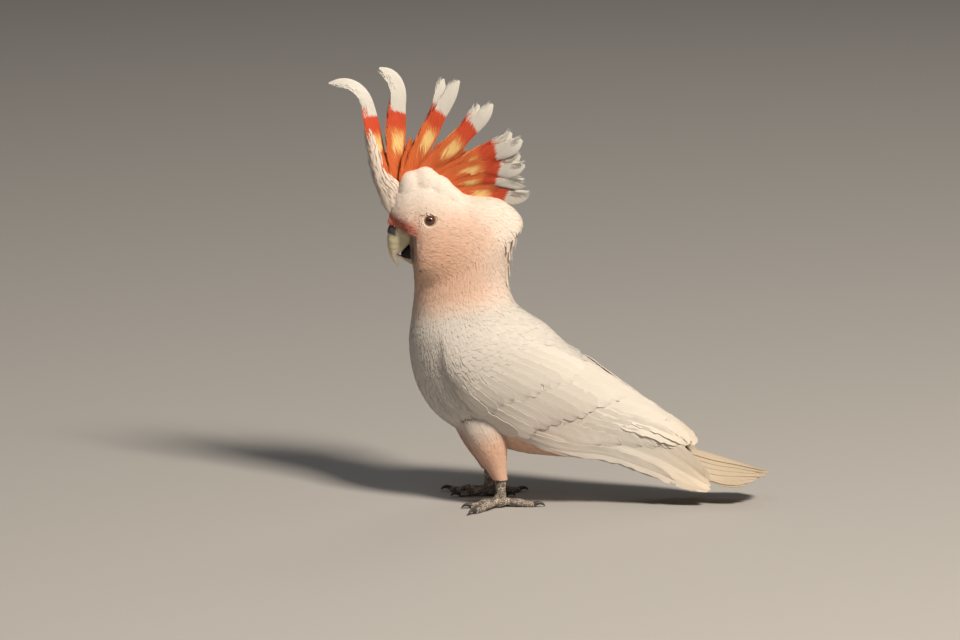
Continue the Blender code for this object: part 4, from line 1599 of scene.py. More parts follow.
@dataclass
class BodyCoat:
    """The small feathers of the head, neck, breast, belly, back and the fore part of the wings."""

    finish: Material
    seed: int = 11
    face: Stretch = Stretch(0.12, 5.6, 1.15, (4.5, 8.0), 0.85, 0.16)
    hairs: Stretch = Stretch(0.3, 11.5, 2.6, (5.0, 12.0), 0.42, 0.14, 0.15)
    cheeks: Stretch = Stretch(5.2, 11.4, 1.7, (7.0, 12.0), 1.4, 0.10)
    crown: Stretch = Stretch(2.2, 8.0, 1.4, (6.0, 8.0), 1.3, 0.35, 0.1, (-62.0, 62.0))
    nape: Stretch = Stretch(7.0, 8.9, 2.2, (19.0, 22.0), 2.2, 0.07, 0.1, (-50.0, 50.0))
    neck: Stretch = Stretch(11.2, 13.5, 2.2, (11.0, 14.0), 2.0, 0.08)
    rest: Stretch = Stretch(13.1, 19.7, 2.9, (14.0, 20.0), 3.0, 0.09)
    back: Stretch = Stretch(13.0, 17.0, 3.2, (15.0, 22.0), 3.4, 0.07)
    fringe_rows: tuple = (7, 6, 4)
    plume_count: int = 800
    hair_count: int = 900

    def roots(self, part: Stretch, rng: Rng) -> Roots:
        """Roots over a stretch of the body."""
        a, b = scatter(COAT, part.first, part.last, part.spacing, rng, *part.angles)
        count = len(a)
        grown = np.interp(a, (part.first, part.last), part.length) * rng.uniform(0.85, 1.15, count)
        return Roots(a, b, grown, part.half_width * rng.uniform(0.8, 1.2, count),
                     rng.normal(0, part.wander, count),
                     -np.minimum(coat_depth(a, b) * 0.85, 0.10 * grown), rng.normal(part.lift, 0.06, count))

    def clear_of_face(self, roots: Roots) -> Roots:
        """Leaves out feathers that would lie over the eye ring."""
        patch = FORM.frame(roots.a, roots.b)
        x, y, z = patch.point.T
        clear = ~((x < -70.5) & (z < 223.5) & (z > 206.0) & (np.abs(y) < 19.5))  # bare beside the bill
        for share in (0.0, 0.4, 0.7, 1.0):
            spot = patch.point + patch.ahead * (share * roots.length)[:, None]
            far = eye_distance(spot)
            # the ring reaches further ahead of the eye
            clear &= far > 8.3 + 1.2 * (EYE.x - spot[:, 0]) / far
        return roots.kept(clear)

    def lay(self, roots: Roots, cut: FeatherCut, rng: Rng, name: str, white: Array = 0.0,
            ground: Ground = COAT) -> None:
        """Makes a piece of feathers on a ground; white takes away that share of their blush."""
        loft = 0.4 * step_up(off_back(roots.b), 110, 50)
        loft = loft * step_up(roots.a, 5.0, 3.0) * step_up(roots.a, 0.8, 2.0)
        made = lay_feathers(ground, roots, cut, rng, loft)
        white = np.repeat(np.broadcast_to(white, roots.a.shape), cut.rings * 3)
        made.values["blush"] = made.values["blush"] * (1 - white)
        made.piece(name, self.finish, "pink_plumage", [])

    def head(self) -> None:
        """Short feathers and sparse hairs on the face, longer ones behind, puffs on the crown and nape."""
        rng = np.random.default_rng(self.seed)
        cut = FeatherCut(rings=4, widths=((0, 0.6), (0.5, 1.0), (1.0, 0.15)), sweep=0.7, ragged=0.4,
                         camber=0.05, thickness=0.12, roundness=0.08)
        face = self.clear_of_face(self.roots(self.face, rng))
        self.lay(face, cut, rng, "coat_face")
        hairs = self.clear_of_face(self.roots(self.hairs, rng))
        self.lay(hairs.split(2, rng, 0.22, 0.8), STRAND, rng, "coat_hairs", white=0.25)
        head = self.clear_of_face(self.roots(self.cheeks, rng))
        self.lay(head, cut, rng, "coat_head")
        crown = self.clear_of_face(self.roots(self.crown, rng))
        self.lay(crown, FeatherCut(rings=5, sweep=0.8, ragged=0.5, camber=0.1, thickness=0.15), rng,
                 "coat_crown", white=0.7 * step_up(off_back(crown.b), 62.0, 30.0))
        puff = self.roots(self.nape, rng)
        tier = np.repeat(np.arange(3.0), self.fringe_rows)
        across = np.concatenate([np.linspace(-1, 1, count) for count in self.fringe_rows])
        uneven = rng.normal(0, 1, (4, len(tier)))
        fringe = Roots(9.1 + 0.8 * tier + 0.2 * uneven[0], (32 - 9 * tier) * across + 2.5 * uneven[1],
                       17 + 1.2 * uneven[2], 2.7, 0.1 * uneven[3], -1.2,
                       3.6 - 0.7 * tier - 1.4 * np.abs(across))
        loose = FeatherCut(rings=8, widths=((0, 0.5), (0.3, 0.95), (0.6, 1.0), (0.85, 0.7), (1, 0.2)),
                           sweep=0.8, ragged=0.2, camber=0.05, thickness=0.15)
        self.lay(puff.split(2, rng, 0.08, 0.8), loose, rng, "coat_nape", 0.5, NapeGround())
        self.lay(fringe, loose, rng, "coat_nape_fringe", white=0.3)

    def trunk(self) -> None:
        """Broader feathers from the neck to the tail, left out where the wings' large feathers hide them."""
        rng = np.random.default_rng(self.seed + 1)
        cut = FeatherCut(rings=5, ragged=0.45, sweep=0.9, camber=0.05, thickness=0.15)
        smooth_cut = FeatherCut(rings=6, ragged=0.15, sweep=0.6, camber=0.04, roundness=0.06, thickness=0.15,
                                widths=((0, 0.5), (0.4, 1.0), (0.75, 1.0), (0.92, 0.75), (1.0, 0.3)))
        neck = self.roots(self.neck, rng)
        self.lay(neck.split(2, rng, 0.10, 0.7), cut, rng, "coat_neck")
        rest = self.roots(self.rest, rng)
        share = WING_BAND.share(rest.a, rest.b)
        hidden = (rest.a > 15.6) & (share > 0.13) & (share < 0.80)
        upper = (rest.a < 16.6) & (share > 0.08)
        front = (rest.a < 16.0) & ~upper
        self.lay(rest.kept(front).split(2, rng, 0.12, 0.65), cut, rng, "coat_breast")
        self.lay(rest.kept(~front & ~hidden & ~upper).split(2, rng, 0.12, 0.65), cut, rng, "coat_belly")
        back = self.roots(self.back, rng)
        share = WING_BAND.share(back.a, back.b)
        back = back.kept((share > 0.08) & ((back.a < 15.8) | (share > 0.85)))
        self.lay(back, smooth_cut, rng, "coat_back")

    def plumes(self) -> None:
        """Long stringy feathers on the sides of the breast, lifted clear of the rest."""
        rng = np.random.default_rng(self.seed + 2)
        count = self.plume_count
        side = rng.choice((-1.0, 1.0), count)
        b = rng.normal(120, 12, count)
        a = rng.uniform(12.9, 15.6, count)
        roots = Roots(a, np.where(side < 0, b, 360 - b), rng.uniform(9, 18, count),
                      rng.uniform(0.3, 0.5, count),
                      rng.normal(0, 0.15, count), -0.5, rng.uniform(0.1, 0.5, count))
        cut = FeatherCut(rings=6, widths=((0, 0.8), (0.5, 1.0), (0.85, 0.7), (1, 0.1)), sweep=0.5,
                         ragged=0.3, camber=0.4, thickness=0.25, roundness=0.4)
        self.lay(roots, cut, rng, "coat_breast_plumes", white=1.0)

    def lores(self) -> None:
        """Red hairs that run down and ahead over the bill's root, from before the eye to the nostrils."""
        rng = np.random.default_rng(self.seed + 3)
        count = self.hair_count
        way = rng.choice((-1.0, 1.0), count)
        share = rng.uniform(0, 1, count)  # 0 over the nostrils, 1 before the eye
        spread = rng.uniform(-1, 1, count)
        x0 = -89.5 + 18.0 * share
        z0 = 237.0 - 6.5 * share + 2.6 * spread * np.interp(share, (0, 0.4, 1), (0.45, 1.0, 1.0))
        y0 = np.interp(x0, (-91, -86, -80, -70), (1.5, 5.5, 8.8, 15.0)) + 0.4
        start = xyz(x0, way * y0 * rng.uniform(0.75, 1.0, count), z0)
        step = xyz(-2.0 + 3.0 * share, way * 0.1, -3.4 + 0.8 * share) * rng.uniform(0.7, 1.5, (count, 1))
        t = np.linspace(0, 1, 4)[None, :, None]
        out = unit(xyz(-0.5 + 0.3 * share, way * 0.9, 0.2))[:, None]
        middle = start[:, None] + step[:, None] * t + out * (0.6 + 1.1 * t * (1 - t))
        made = blades(middle, np.broadcast_to(out, middle.shape), np.full(count, 0.3), STRAND, rng,
                      COAT.unwrap(1.2 + share, 60 + 30 * way))
        made.values["rust"] = 1 + 0 * made.values["tone"]
        made.piece("coat_lores", self.finish, "pink_plumage", [])

    def build(self) -> None:
        """All of the body's small feathers."""
        self.head()
        self.trunk()
        self.plumes()
        self.lores()


class Toe(NamedTuple):
    """One toe: its name, its bearing from straight ahead in degrees, its length, its claw's, its radius."""

    name: str
    bearing: float
    length: float
    claw: float
    radius: float


@dataclass
class Leg:
    """One leg: the feathered thigh, the bare shank with its palm, four toes and their claws."""

    limb: Limb
    toes: tuple = (Toe("toe1", -166.0, 16.0, 9.5, 3.0), Toe("toe2", -16.0, 25.0, 10.5, 3.2),
                   Toe("toe3", 24.0, 35.0, 12.5, 3.4), Toe("toe4", 150.0, 29.0, 11.0, 3.2))
    toe_start: float = 3.0
    sole_sink: float = 0.5
    voxel: float = 0.42

    def thigh_coat(self, finish: Material) -> None:
        """Short narrow feathers down the thigh to the ankle."""
        rng = np.random.default_rng(31 + self.limb.side.value)
        ground = ThighGround(self.limb)
        a, b = scatter(ground, 0.0, 3.9, 2.0, rng)
        count = len(a)
        roots = Roots(a, b, np.interp(a, (0, 4), (11, 5.5)) * rng.uniform(0.85, 1.15, count), 1.5,
                      rng.normal(0, 0.1, count), np.interp(a, (0, 3, 4), (-1.2, -1.2, -0.5)),
                      rng.normal(0.0, 0.08, count))
        cut = FeatherCut(ragged=0.45, sweep=0.6, camber=0.05, thickness=0.15)
        made = lay_feathers(ground, roots.split(2, rng, 0.16, 0.65), cut, rng)
        made.piece(f"coat_thigh_{self.limb.side.word}", finish, "pink_plumage", [])

    def toe_path(self, toe: Toe) -> tuple:
        """A toe's way over the ground: (path, radii, the way it points)."""
        heading = math.radians(toe.bearing + self.limb.turn)
        ahead = np.array([-math.cos(heading), self.limb.side.value * math.sin(heading), 0.0])
        middle = np.array([self.limb.ankle_x, self.limb.middle_y, 0.0])
        t = np.linspace(0, 1, 44)
        out = self.toe_start + t * (toe.length - self.toe_start)
        pads = 1 + 0.11 * np.cos(t * 4 * math.pi) + 0.02 * np.cos(t * 30 * math.pi)
        thick = toe.radius * pads * np.interp(t, (0, 0.25, 0.8, 1), (0.75, 1.0, 0.86, 0.62))
        rise = thick - self.sole_sink + toe.radius * 0.9 * (1 - t) ** 1.6
        path = middle + out[:, None] * ahead + xyz(0, 0, rise)
        return path, thick, ahead

    def claw(self, path: Array, ahead: Array, length: float) -> Surface:
        """A curved cone from a toe's end, bent down to just above the ground."""
        bend = np.linspace(0, 1, 18)
        droop = np.radians(24 - 92 * bend)
        steps = (np.cos(droop)[:, None] * ahead + np.sin(droop)[:, None] * (0, 0, 1)) * length / 17
        start = path[-1] + (0, 0, 0.3) - ahead * 1.2
        line = start + summed(steps)
        line[:, 2] += np.linspace(0, max(0.0, 0.7 - line[-1, 2]), 18)
        rings = swept(line, 1.95 * (1 - bend) ** 0.75 + 0.2, 16)
        rings[..., 2] = np.maximum(rings[..., 2], 0.0)
        return tube(rings, {"warmth": np.zeros(rings.shape[:2])})

    def foot(self, skin: Material, horn: Material) -> None:
        """Shank and toes, run together by a voxel remesh and cut into scales by a Displace, and claws."""
        shank = smooth(np.array(self.limb.shank), np.linspace(0, len(self.limb.shank) - 1, 60))
        path = xyz(self.limb.ankle_x + shank[:, 0], self.limb.middle_y, shank[:, 1])
        parts = [tube(swept(path, shank[:, 2], 32, upright=True))]
        claws = []
        word = self.limb.side.word
        for toe in self.toes:
            way, thick, ahead = self.toe_path(toe)
            parts.append(tube(swept(way, thick, 24)))
            claws.append(self.claw(way, ahead, toe.claw))
        raw = placed("foot", Surface.joined(parts).mesh("foot"))
        union = raw.modifiers.new("union", "REMESH")
        union.mode = "VOXEL"
        union.voxel_size = self.voxel * MM
        union.use_smooth_shade = True
        soften = raw.modifiers.new("soften", "SMOOTH")
        soften.factor = 0.5
        soften.iterations = 3
        cells = bpy.data.textures.new("scales", "VORONOI")
        cells.noise_scale = 0.0017
        scales = raw.modifiers.new("scales", "DISPLACE")
        scales.texture = cells
        scales.texture_coords = "LOCAL"
        scales.strength = -0.00045
        scales.mid_level = 0.3
        mesh = shaped(raw, f"foot_{word}")
        places = np.empty(len(mesh.vertices) * 3, np.float32)
        mesh.vertices.foreach_get("co", places)
        places[2::3] = np.maximum(places[2::3], 0.0)
        mesh.vertices.foreach_set("co", places)
        mesh.update()
        toes = [f"{word}_{toe.name}" for toe in self.toes]
        show(placed(f"foot_{word}", mesh), skin, "leg_skin", [f"{word}_tarsus", *toes])
        Surface.joined(claws).piece(f"claws_{word}", horn, "claw", [f"{toe}_claw" for toe in toes])


class QuillRow(NamedTuple):
    """A row of a wing's large feathers, the lowest first: each number runs evenly or as listed.

    a is where the roots are, b their share of the wing from its lower edge, tip the station of their tips.
    """

    count: int
    a: tuple
    b: tuple
    tip: tuple
    half_width: tuple
    root_height: float
    heights: tuple


@dataclass
class Wing:
    """One folded wing behind the small coverts: each row of large feathers lies over the one behind it."""

    side: Side
    finish: Material
    tilt: float = 1.5
    seed: int = 51
    over: float = 0.0
    primaries: QuillRow = QuillRow(
        9, (16.2, 17.0), (0.02, 0.42), (21.6, 22.3, 22.7, 22.9, 23.0, 23.0, 22.95, 22.8, 22.5), (6.5, 8.0),
        -3.0, (-2.6, -1.2))
    secondaries: QuillRow = QuillRow(
        8, (16.0, 16.4), (0.20, 0.60), (19.4, 19.9, 20.4, 20.8, 21.1, 21.3, 21.5, 21.6), (8.0, 8.5),
        -2.6, (-1.6, -0.7))
    tertials: QuillRow = QuillRow(
        5, (16.2, 16.4), (0.62, 1.0), (21.4, 21.7, 22.0, 22.2, 22.0), (10.0, 9.0), -1.8, (-0.1, 1.0))
    greater: QuillRow = QuillRow(
        11, (15.4, 15.4), (0.0, 0.82), (17.5, 17.6, 17.6, 17.8, 17.9, 18.0, 18.1, 18.2, 18.3, 18.4, 18.5),
        (7.0, 9.0), -1.9, (-0.6, 0.7))
    median: QuillRow = QuillRow(
        11, (14.7, 14.9), (0.06, 0.88), (16.4, 16.4, 16.5, 16.5, 16.6, 16.6, 16.7, 16.8, 16.9, 17.0, 17.0),
        (6.0, 8.0), -1.6, (-0.1, 1.0))

    def roots(self, row: QuillRow, rng: Rng) -> Roots:
        """The row's feathers, each long enough to reach its tip's station."""
        ground = WingGround(self.side)
        count = row.count
        a, b = np.linspace(*row.a, count), np.linspace(*row.b, count)
        tip = np.interp(np.linspace(0, 1, count), np.linspace(0, 1, len(row.tip)), row.tip)
        tip = tip + rng.normal(0, 0.05, count)
        route = ground.point(a[:, None] + (tip - a)[:, None] * np.linspace(0, 1, 40), b[:, None])
        length = np.linalg.norm(np.diff(route, axis=1), axis=-1).sum(axis=1)
        return Roots(a, b, length, np.linspace(*row.half_width, count), rng.normal(0, 0.01, count),
                     row.root_height, np.linspace(*row.heights, count) + self.over)

    def build(self) -> None:
        """Three pieces: outer quills, inner quills, and large coverts."""
        rng = np.random.default_rng(self.seed)
        ground = WingGround(self.side)
        word = self.side.word
        for name, rows, node_name, cut in (
                ("primaries", (self.primaries,), "outer_quills", QuillCut(splits=0.7)),
                ("secondaries", (self.secondaries, self.tertials), "inner_quills", QuillCut(splits=1.6)),
                ("large_coverts", (self.greater, self.median), "coverts", QuillCut(rows=20, splits=0.6))):
            total = sum(row.count for row in rows)
            sheets = []
            for row in rows:
                done = sum(len(sheet.points) for sheet in sheets) // (cut.rows * cut.columns)
                sheets.append(lay_quills(ground, self.roots(row, rng), cut, rng, -self.tilt, (done, total)))
            quill_piece(sheets, f"wing_{word}_{name}", self.finish, "white_plumage",
                        [f"wing_{word}_{node_name}"])


@dataclass
class Tail:
    """Twelve tail feathers in a shallow roof, the middle pair on top."""

    root: tuple = (101.0, 57.0)
    tip: tuple = (220.5, 25.2)
    half_widths: tuple = (10.0, 12.5, 14.5, 16.0, 18.5, 22.5, 25.0)
    sags: tuple = (3.0, 6.0, 10.0, 14.5, 15.0, 8.5, 2.0)
    arch: float = 3.0
    rounding: float = 20.0
    vane: float = 8.6
    pairs: int = 6

    def build(self, finish: Material) -> None:
        """Each feather runs from the root to its place on the rounded end and lies over the next one out."""
        rng = np.random.default_rng(71)
        cut = QuillCut(rows=40, columns=11, splits=2.0)
        t = np.linspace(0, 1, cut.rows)
        w = np.linspace(-1, 1, cut.columns)
        shares = np.interp(t, *zip(*cut.widths))
        sheets = []
        slope = (self.tip[1] - self.root[1]) / (self.tip[0] - self.root[0])
        for number in range(2 * self.pairs):
            pair, way = number // 2, 1 if number % 2 else -1
            spot = way * (pair + 0.45) / self.pairs
            reach = self.tip[0] - self.root[0] - self.rounding * spot**2 + rng.normal(0, 1.0)
            x = self.root[0] - 6 + t * (reach + 6)
            place = np.clip((x - self.root[0]) / (self.tip[0] - self.root[0]), 0, 1) * (len(self.sags) - 1)
            half, sag = smooth(self.half_widths, place), smooth(self.sags, place)
            vane = self.vane * shares[:, None] * np.abs(w)
            y = half[:, None] * spot * 0.86 + np.sign(w) * vane
            xs = x[:, None] + vane * 0.7 * (1 - 0.5 * t[:, None])
            fall = sag[:, None] * np.minimum(np.abs(y / half[:, None]), 1) ** 1.6
            roof = self.arch * np.sin(math.pi * t)[:, None] - fall
            shaft = 0.4 * np.exp(-((w / 0.1) ** 2)) * (1 - 0.6 * t[:, None])
            layer = -0.7 * pair + 0.2 * way - 0.8 - 0.35 * way * w + rng.normal(0, 0.1)
            z = self.root[1] + (xs - self.root[0]) * slope + roof + shaft + layer
            sheets.append(vane_sheet(xyz(xs, y, z)[None], t, w, (t * reach)[:, None] - 1.5 * vane, cut, rng,
                                     (number, 2 * self.pairs)))
        quill_piece(sheets, "tail_feathers", finish, "white_plumage", ["tail"], 0.5)


# -------------------------------------------------------------------------------- crest


class CrestFeather(NamedTuple):
    """One crest feather as seen from the side.

    root is its x and z, leans its turn from upright at Crest's marks, positive ahead, white how far from the
    root its white tip starts, blunt 0 for a pointed tip to 1 for a square one, and blades what it is made
    of: for each (turn of its outer part in degrees, share of the length, y at the tip, share of the depth).
    """

    root: tuple
    length: float
    depth: float
    leans: tuple
    white: float
    blunt: float
    blades: tuple = ((0.0, 1.0, 0.0, 1.0),)


@dataclass
class Crest:
    """The raised crest: eight long feathers folded along their shafts, loose barbs beside them, and the
    white plume that stands before them on the forehead."""

    marks: tuple = (0.0, 0.2, 0.4, 0.55, 0.65, 0.72, 0.8, 0.87, 0.93, 1.0)
    spread: float = 5.4
    pointed: tuple = ((0.0, 0.45), (0.15, 0.75), (0.35, 1.0), (0.5, 1.04), (0.58, 0.98), (0.66, 0.86),
                      (0.78, 0.84), (0.86, 0.76), (0.92, 0.58), (0.965, 0.34), (1.0, 0.03))
    square: tuple = ((0.0, 0.45), (0.15, 0.75), (0.35, 1.0), (0.5, 1.04), (0.62, 0.95), (0.8, 1.0),
                     (0.9, 0.98), (0.96, 0.75), (1.0, 0.3))
    feathers: tuple = (
        CrestFeather((-87.0, 251.5), 121.5, 10.6, (20, 18, 11, 12, 11, 28, 51, 72, 92, 103), 71.0, 0.0),
        CrestFeather((-83.0, 253.0), 113.5, 14.6, (0, 6, -2, -2, -6, -5, 13, 31, 52, 74), 70.5, 0.0),
        CrestFeather((-78.5, 256.5), 104.0, 14.0, (-10, -23, -28, -26, -27, -29, -29, -25, -30, -35),
                     73.5, 0.1, ((19.0, 0.96, 3.4, 0.9), (-2.0, 1.0, -3.0, 1.0))),
        CrestFeather((-73.5, 259.0), 98.5, 14.5, (-30, -44, -50, -46, -42, -46, -46, -40, -34, -30),
                     74.0, 0.1, ((12.0, 0.92, 3.4, 0.9), (-2.0, 1.0, -3.0, 1.0))),
        CrestFeather((-68.5, 260.0), 96.0, 16.0, (-58, -64, -68, -62, -61, -74, -80, -73, -54, -42),
                     71.0, 0.15, ((17.0, 0.95, 3.4, 0.9), (0.0, 1.0, -3.0, 1.0))),
        CrestFeather((-63.5, 258.5), 90.0, 15.5, (-58, -62, -75, -82, -90, -95, -86, -74, -64, -56),
                     65.5, 0.12, ((11.0, 0.96, 3.4, 0.9), (-6.0, 0.98, -3.0, 1.0))),
        CrestFeather((-58.5, 256.5), 77.0, 14.5, (-70, -73, -77, -86, -92, -95, -98, -100, -98, -94),
                     56.0, 0.2, ((0.0, 1.0, 2.0, 1.0), (-6.0, 1.03, -3.6, 0.55))),
        CrestFeather((-53.5, 254.5), 77.0, 13.0, (-84, -85, -87, -94, -101, -103, -102, -92, -80, -72),
                     57.5, 0.3),
    )
    fillers: tuple = (
        CrestFeather((-85.0, 252.0), 39.0, 9.0, (12,) * 10, 90.0, 0.0),
        CrestFeather((-81.0, 254.0), 46.0, 9.0, (-12,) * 10, 90.0, 0.0),
        CrestFeather((-76.0, 257.5), 48.0, 9.0, (-37,) * 10, 90.0, 0.0),
        CrestFeather((-71.0, 259.5), 52.0, 9.0, (-55,) * 10, 90.0, 0.0),
    )
    rows: int = 72
    columns: int = 17
    barb_count: int = 560
    barb_half_width: float = 0.26
    barb_marks: tuple = (0.0, 0.35, 0.7, 1.0)
    barb_lengths: tuple = (22.0, 13.0, 9.0, 9.0)
    barb_angles: tuple = (0.6, 0.42, 0.25, 0.2)

    def blade(self, feather: CrestFeather, blade: tuple, number: int, strip: tuple,
              rng: Rng) -> tuple:
        """One blade: its middle line by summing short steps along its lean, folded into a trough.

        Args:
            feather: Whose blade it is.
            blade: One of its blades.
            number: Which feather it is, for its ripple.
            strip: As for vane_sheet.
            rng: Where the unevenness comes from.

        Returns:
            The sheet, its points, the way along it, its band by rows and columns, and its width by rows.
        """
        turn, share, aside, deep = blade
        length, depth = feather.length * share, feather.depth * deep
        t = np.linspace(0, 1, self.rows)
        w = np.linspace(-1, 1, self.columns)
        leans = eased(tuple(zip(self.marks, feather.leans)), t, 0.035)
        heading = np.radians(leans + turn * step_up(t, 0.5, 0.85))
        ahead = np.stack([-np.sin(heading), np.cos(heading)], axis=-1)
        forward = np.stack([-np.cos(heading), -np.sin(heading)], axis=-1)
        steps = ahead * length / (self.rows - 1)
        path = np.array(feather.root) + summed(steps)
        pointed, square = eased(self.pointed, t, 0.02), eased(self.square, t, 0.02)
        width = (1 - feather.blunt) * pointed + feather.blunt * square
        ragged = 1 + 0.02 * rng.standard_normal((self.rows, 2)) * step_up(t, 0.1, 0.5)[:, None]
        reach = np.where(w[None, :] < 0, ragged[:, :1], ragged[:, 1:]) * width[:, None]
        fold = depth * (reach * np.abs(w) ** 1.2 - 0.5 * width[:, None])
        barb = 0.4 * depth * reach * np.abs(w) * (1 - 0.6 * t[:, None])
        x = path[:, :1] + forward[:, :1] * fold + ahead[:, :1] * barb
        z = path[:, 1:] + forward[:, 1:] * fold + ahead[:, 1:] * barb
        y = self.spread * deep * reach * w + (aside * (0.2 + 0.8 * t))[:, None]
        ripple = 0.2 * np.sin(t[:, None] * 26 + number + 3 * w) * np.abs(w)
        points = xyz(x, y + ripple, z)
        band = (t[:, None] * length + 0.15 * barb) / feather.white * 0.8
        origin = t[:, None] * length - 2.2 * (depth * reach * np.abs(w))
        made = vane_sheet(points[None], t, w, origin, QuillCut(splits=0.0), rng, strip)
        made.values["band"] = band.ravel()
        return made, points, ahead, band, width

    def barbs(self, points: Array, ahead: Array, band: Array, width: Array, rng: Rng) -> Surface:
        """Fine loose barbs that leave a blade near its edges and run to its tip, longest at its foot."""
        count = self.barb_count
        t = rng.uniform(0.02, 0.97, count) ** 1.5
        row = (t * (self.rows - 1)).astype(int)
        edge = rng.choice((0, self.columns - 1), count)
        inner = np.where(edge == 0, 4, self.columns - 5)
        share = rng.uniform(0.3, 1.0, (count, 1))
        start = points[row, inner] * (1 - share) + points[row, edge] * share
        outward = unit(points[row, edge] - points[row, inner])
        up = xyz(ahead[row, 0], 0, ahead[row, 1])
        length = np.interp(t, self.barb_marks, self.barb_lengths) * rng.uniform(0.6, 1.1, count)
        length = (length * (0.4 + 0.6 * width[row]))[:, None]
        open_up = np.interp(t, self.barb_marks, self.barb_angles) * rng.uniform(0.3, 1.1, count)
        open_up = open_up[:, None]
        s = np.linspace(0, 1, 4)[None, :, None]
        way = unit(up + outward * open_up)
        bend = (outward * length * open_up * 0.5)[:, None]
        middle = start[:, None] + (way * length)[:, None] * s - bend * s**2
        normal = unit(np.cross(up, outward))
        normal = (normal * np.where(normal[:, 1:2] > 0, -1, 1))[:, None] * np.ones_like(middle)
        made = blades(middle, normal, np.full(count, self.barb_half_width), STRAND, rng,
                      rng.uniform(0, 1, (count, 2)))
        here = band[row, edge]
        here = np.where(here < 0.80, np.minimum(here + 0.02, 0.78), here + 0.03)
        made.values["band"] = np.repeat(here, STRAND.rings * 3)
        made.values["side"] = np.where(made.values["side"] == 0, 0.98, made.values["side"])
        made.maps["Vane"] = np.repeat(rng.uniform(0, 9, (count, 2)), STRAND.rings * 3, axis=0)
        return made

    def build(self, finish: Material, plumage: Material) -> None:
        """The crest feathers as one piece, their loose barbs as another, and the forehead's plume."""
        rng = np.random.default_rng(91)
        feathers = self.feathers + self.fillers
        total = sum(len(feather.blades) for feather in feathers)
        sheets, loose = [], []
        for number, feather in enumerate(feathers):
            for blade in feather.blades:
                sheet, *shape = self.blade(feather, blade, number, (len(sheets), total), rng)
                sheets.append(sheet)
                loose.append(self.barbs(*shape, rng))
        nodes = [f"crest_feather_{number + 1}" for number in range(len(self.feathers))]
        quill_piece(sheets, "crest", finish, "crest_plumage", nodes)
        Surface.joined(loose).piece("crest_barbs", finish, "crest_plumage", [])
        self.plume(plumage)

    def plume(self, finish: Material) -> None:
        """Long white feathers that stand up the front of the first crest feather."""
        rng = np.random.default_rng(97)
        ground = PlumeGround()
        a, b = scatter(ground, 0.0, 0.93, 1.25, rng, -150.0, 150.0)
        count = len(a)
        roots = Roots(a, b, np.interp(a, (0, 0.84), (15, 13)) * rng.uniform(0.8, 1.15, count),
                      np.interp(a, (0, 0.84), (0.8, 0.65)), rng.normal(0, 0.10, count), -0.9,
                      rng.uniform(-0.1, 0.5, count) + 1.4 * (rng.random(count) < 0.12))
        cut = FeatherCut(rings=6, widths=((0, 0.6), (0.3, 1.0), (0.6, 0.85), (0.85, 0.45), (1, 0.05)),
                         sweep=1.0, ragged=0.35, camber=0.1, thickness=0.2)
        made = lay_feathers(ground, roots, cut, rng, 0.1)
        made.values["blush"] = 0.14 + 0 * made.values["blush"]
        made.values["rust"] = 0 * made.values["rust"]
        made.piece("coat_forehead_plume", finish, "pink_plumage", [])


class PlumeGround(Ground):
    """The outline of the forehead's plume: a is 0 at its foot to 1 at its tip, b degrees from the front."""

    step_a = 0.004
    step_b = 1.0
    axis = np.array(((-78.8, 237.3), (-86.0, 254.5), (-96.6, 270.5), (-102.2, 288.0), (-106.0, 304.5),
                     (-109.6, 319.5)))
    reach = np.array(((9.2, 3.0), (11.2, 5.6), (6.6, 6.4), (5.0, 6.4), (3.6, 4.8), (0.6, 0.7)))

    def point(self, a: Array, b: Array) -> Array:
        """An oval about the axis, in the plane across it."""
        t = np.clip(np.asarray(a, float), 0, 1) * 5
        x, z = np.moveaxis(smooth(self.axis, t), -1, 0)
        deep, wide = np.moveaxis(smooth(self.reach, t), -1, 0)
        dx, dz = np.moveaxis(smooth(self.axis, t + 0.05) - smooth(self.axis, t - 0.05), -1, 0)
        size = np.maximum(np.hypot(dx, dz), 1e-6)
        angle = np.radians(b)
        out = np.sign(np.cos(angle)) * np.abs(np.cos(angle)) ** 0.75 * deep
        side = np.sign(np.sin(angle)) * np.abs(np.sin(angle)) ** 0.75 * wide
        beyond = (np.asarray(a, float) - np.clip(np.asarray(a, float), 0, 1)) * 80
        return xyz(x - dz / size * out + dx / size * beyond, -side, z + dx / size * out + dz / size * beyond)

    def unwrap(self, a: Array, b: Array) -> Array:
        """Degrees round and place along, inside a narrow margin."""
        across = 0.96 * (np.asarray(b) + 180) % 360 / 360
        return np.stack([0.02 + across, 0.02 + 0.96 * np.asarray(a)], axis=-1)


# -------------------------------------------------------------------------------- studio


@dataclass(frozen=True)
class Lamp:
    """A soft square light: its bearing, its height, its size, its power and its colour."""

    name: str
    azimuth: float
    elevation: float
    size: float
    watts: float
    colour: tuple


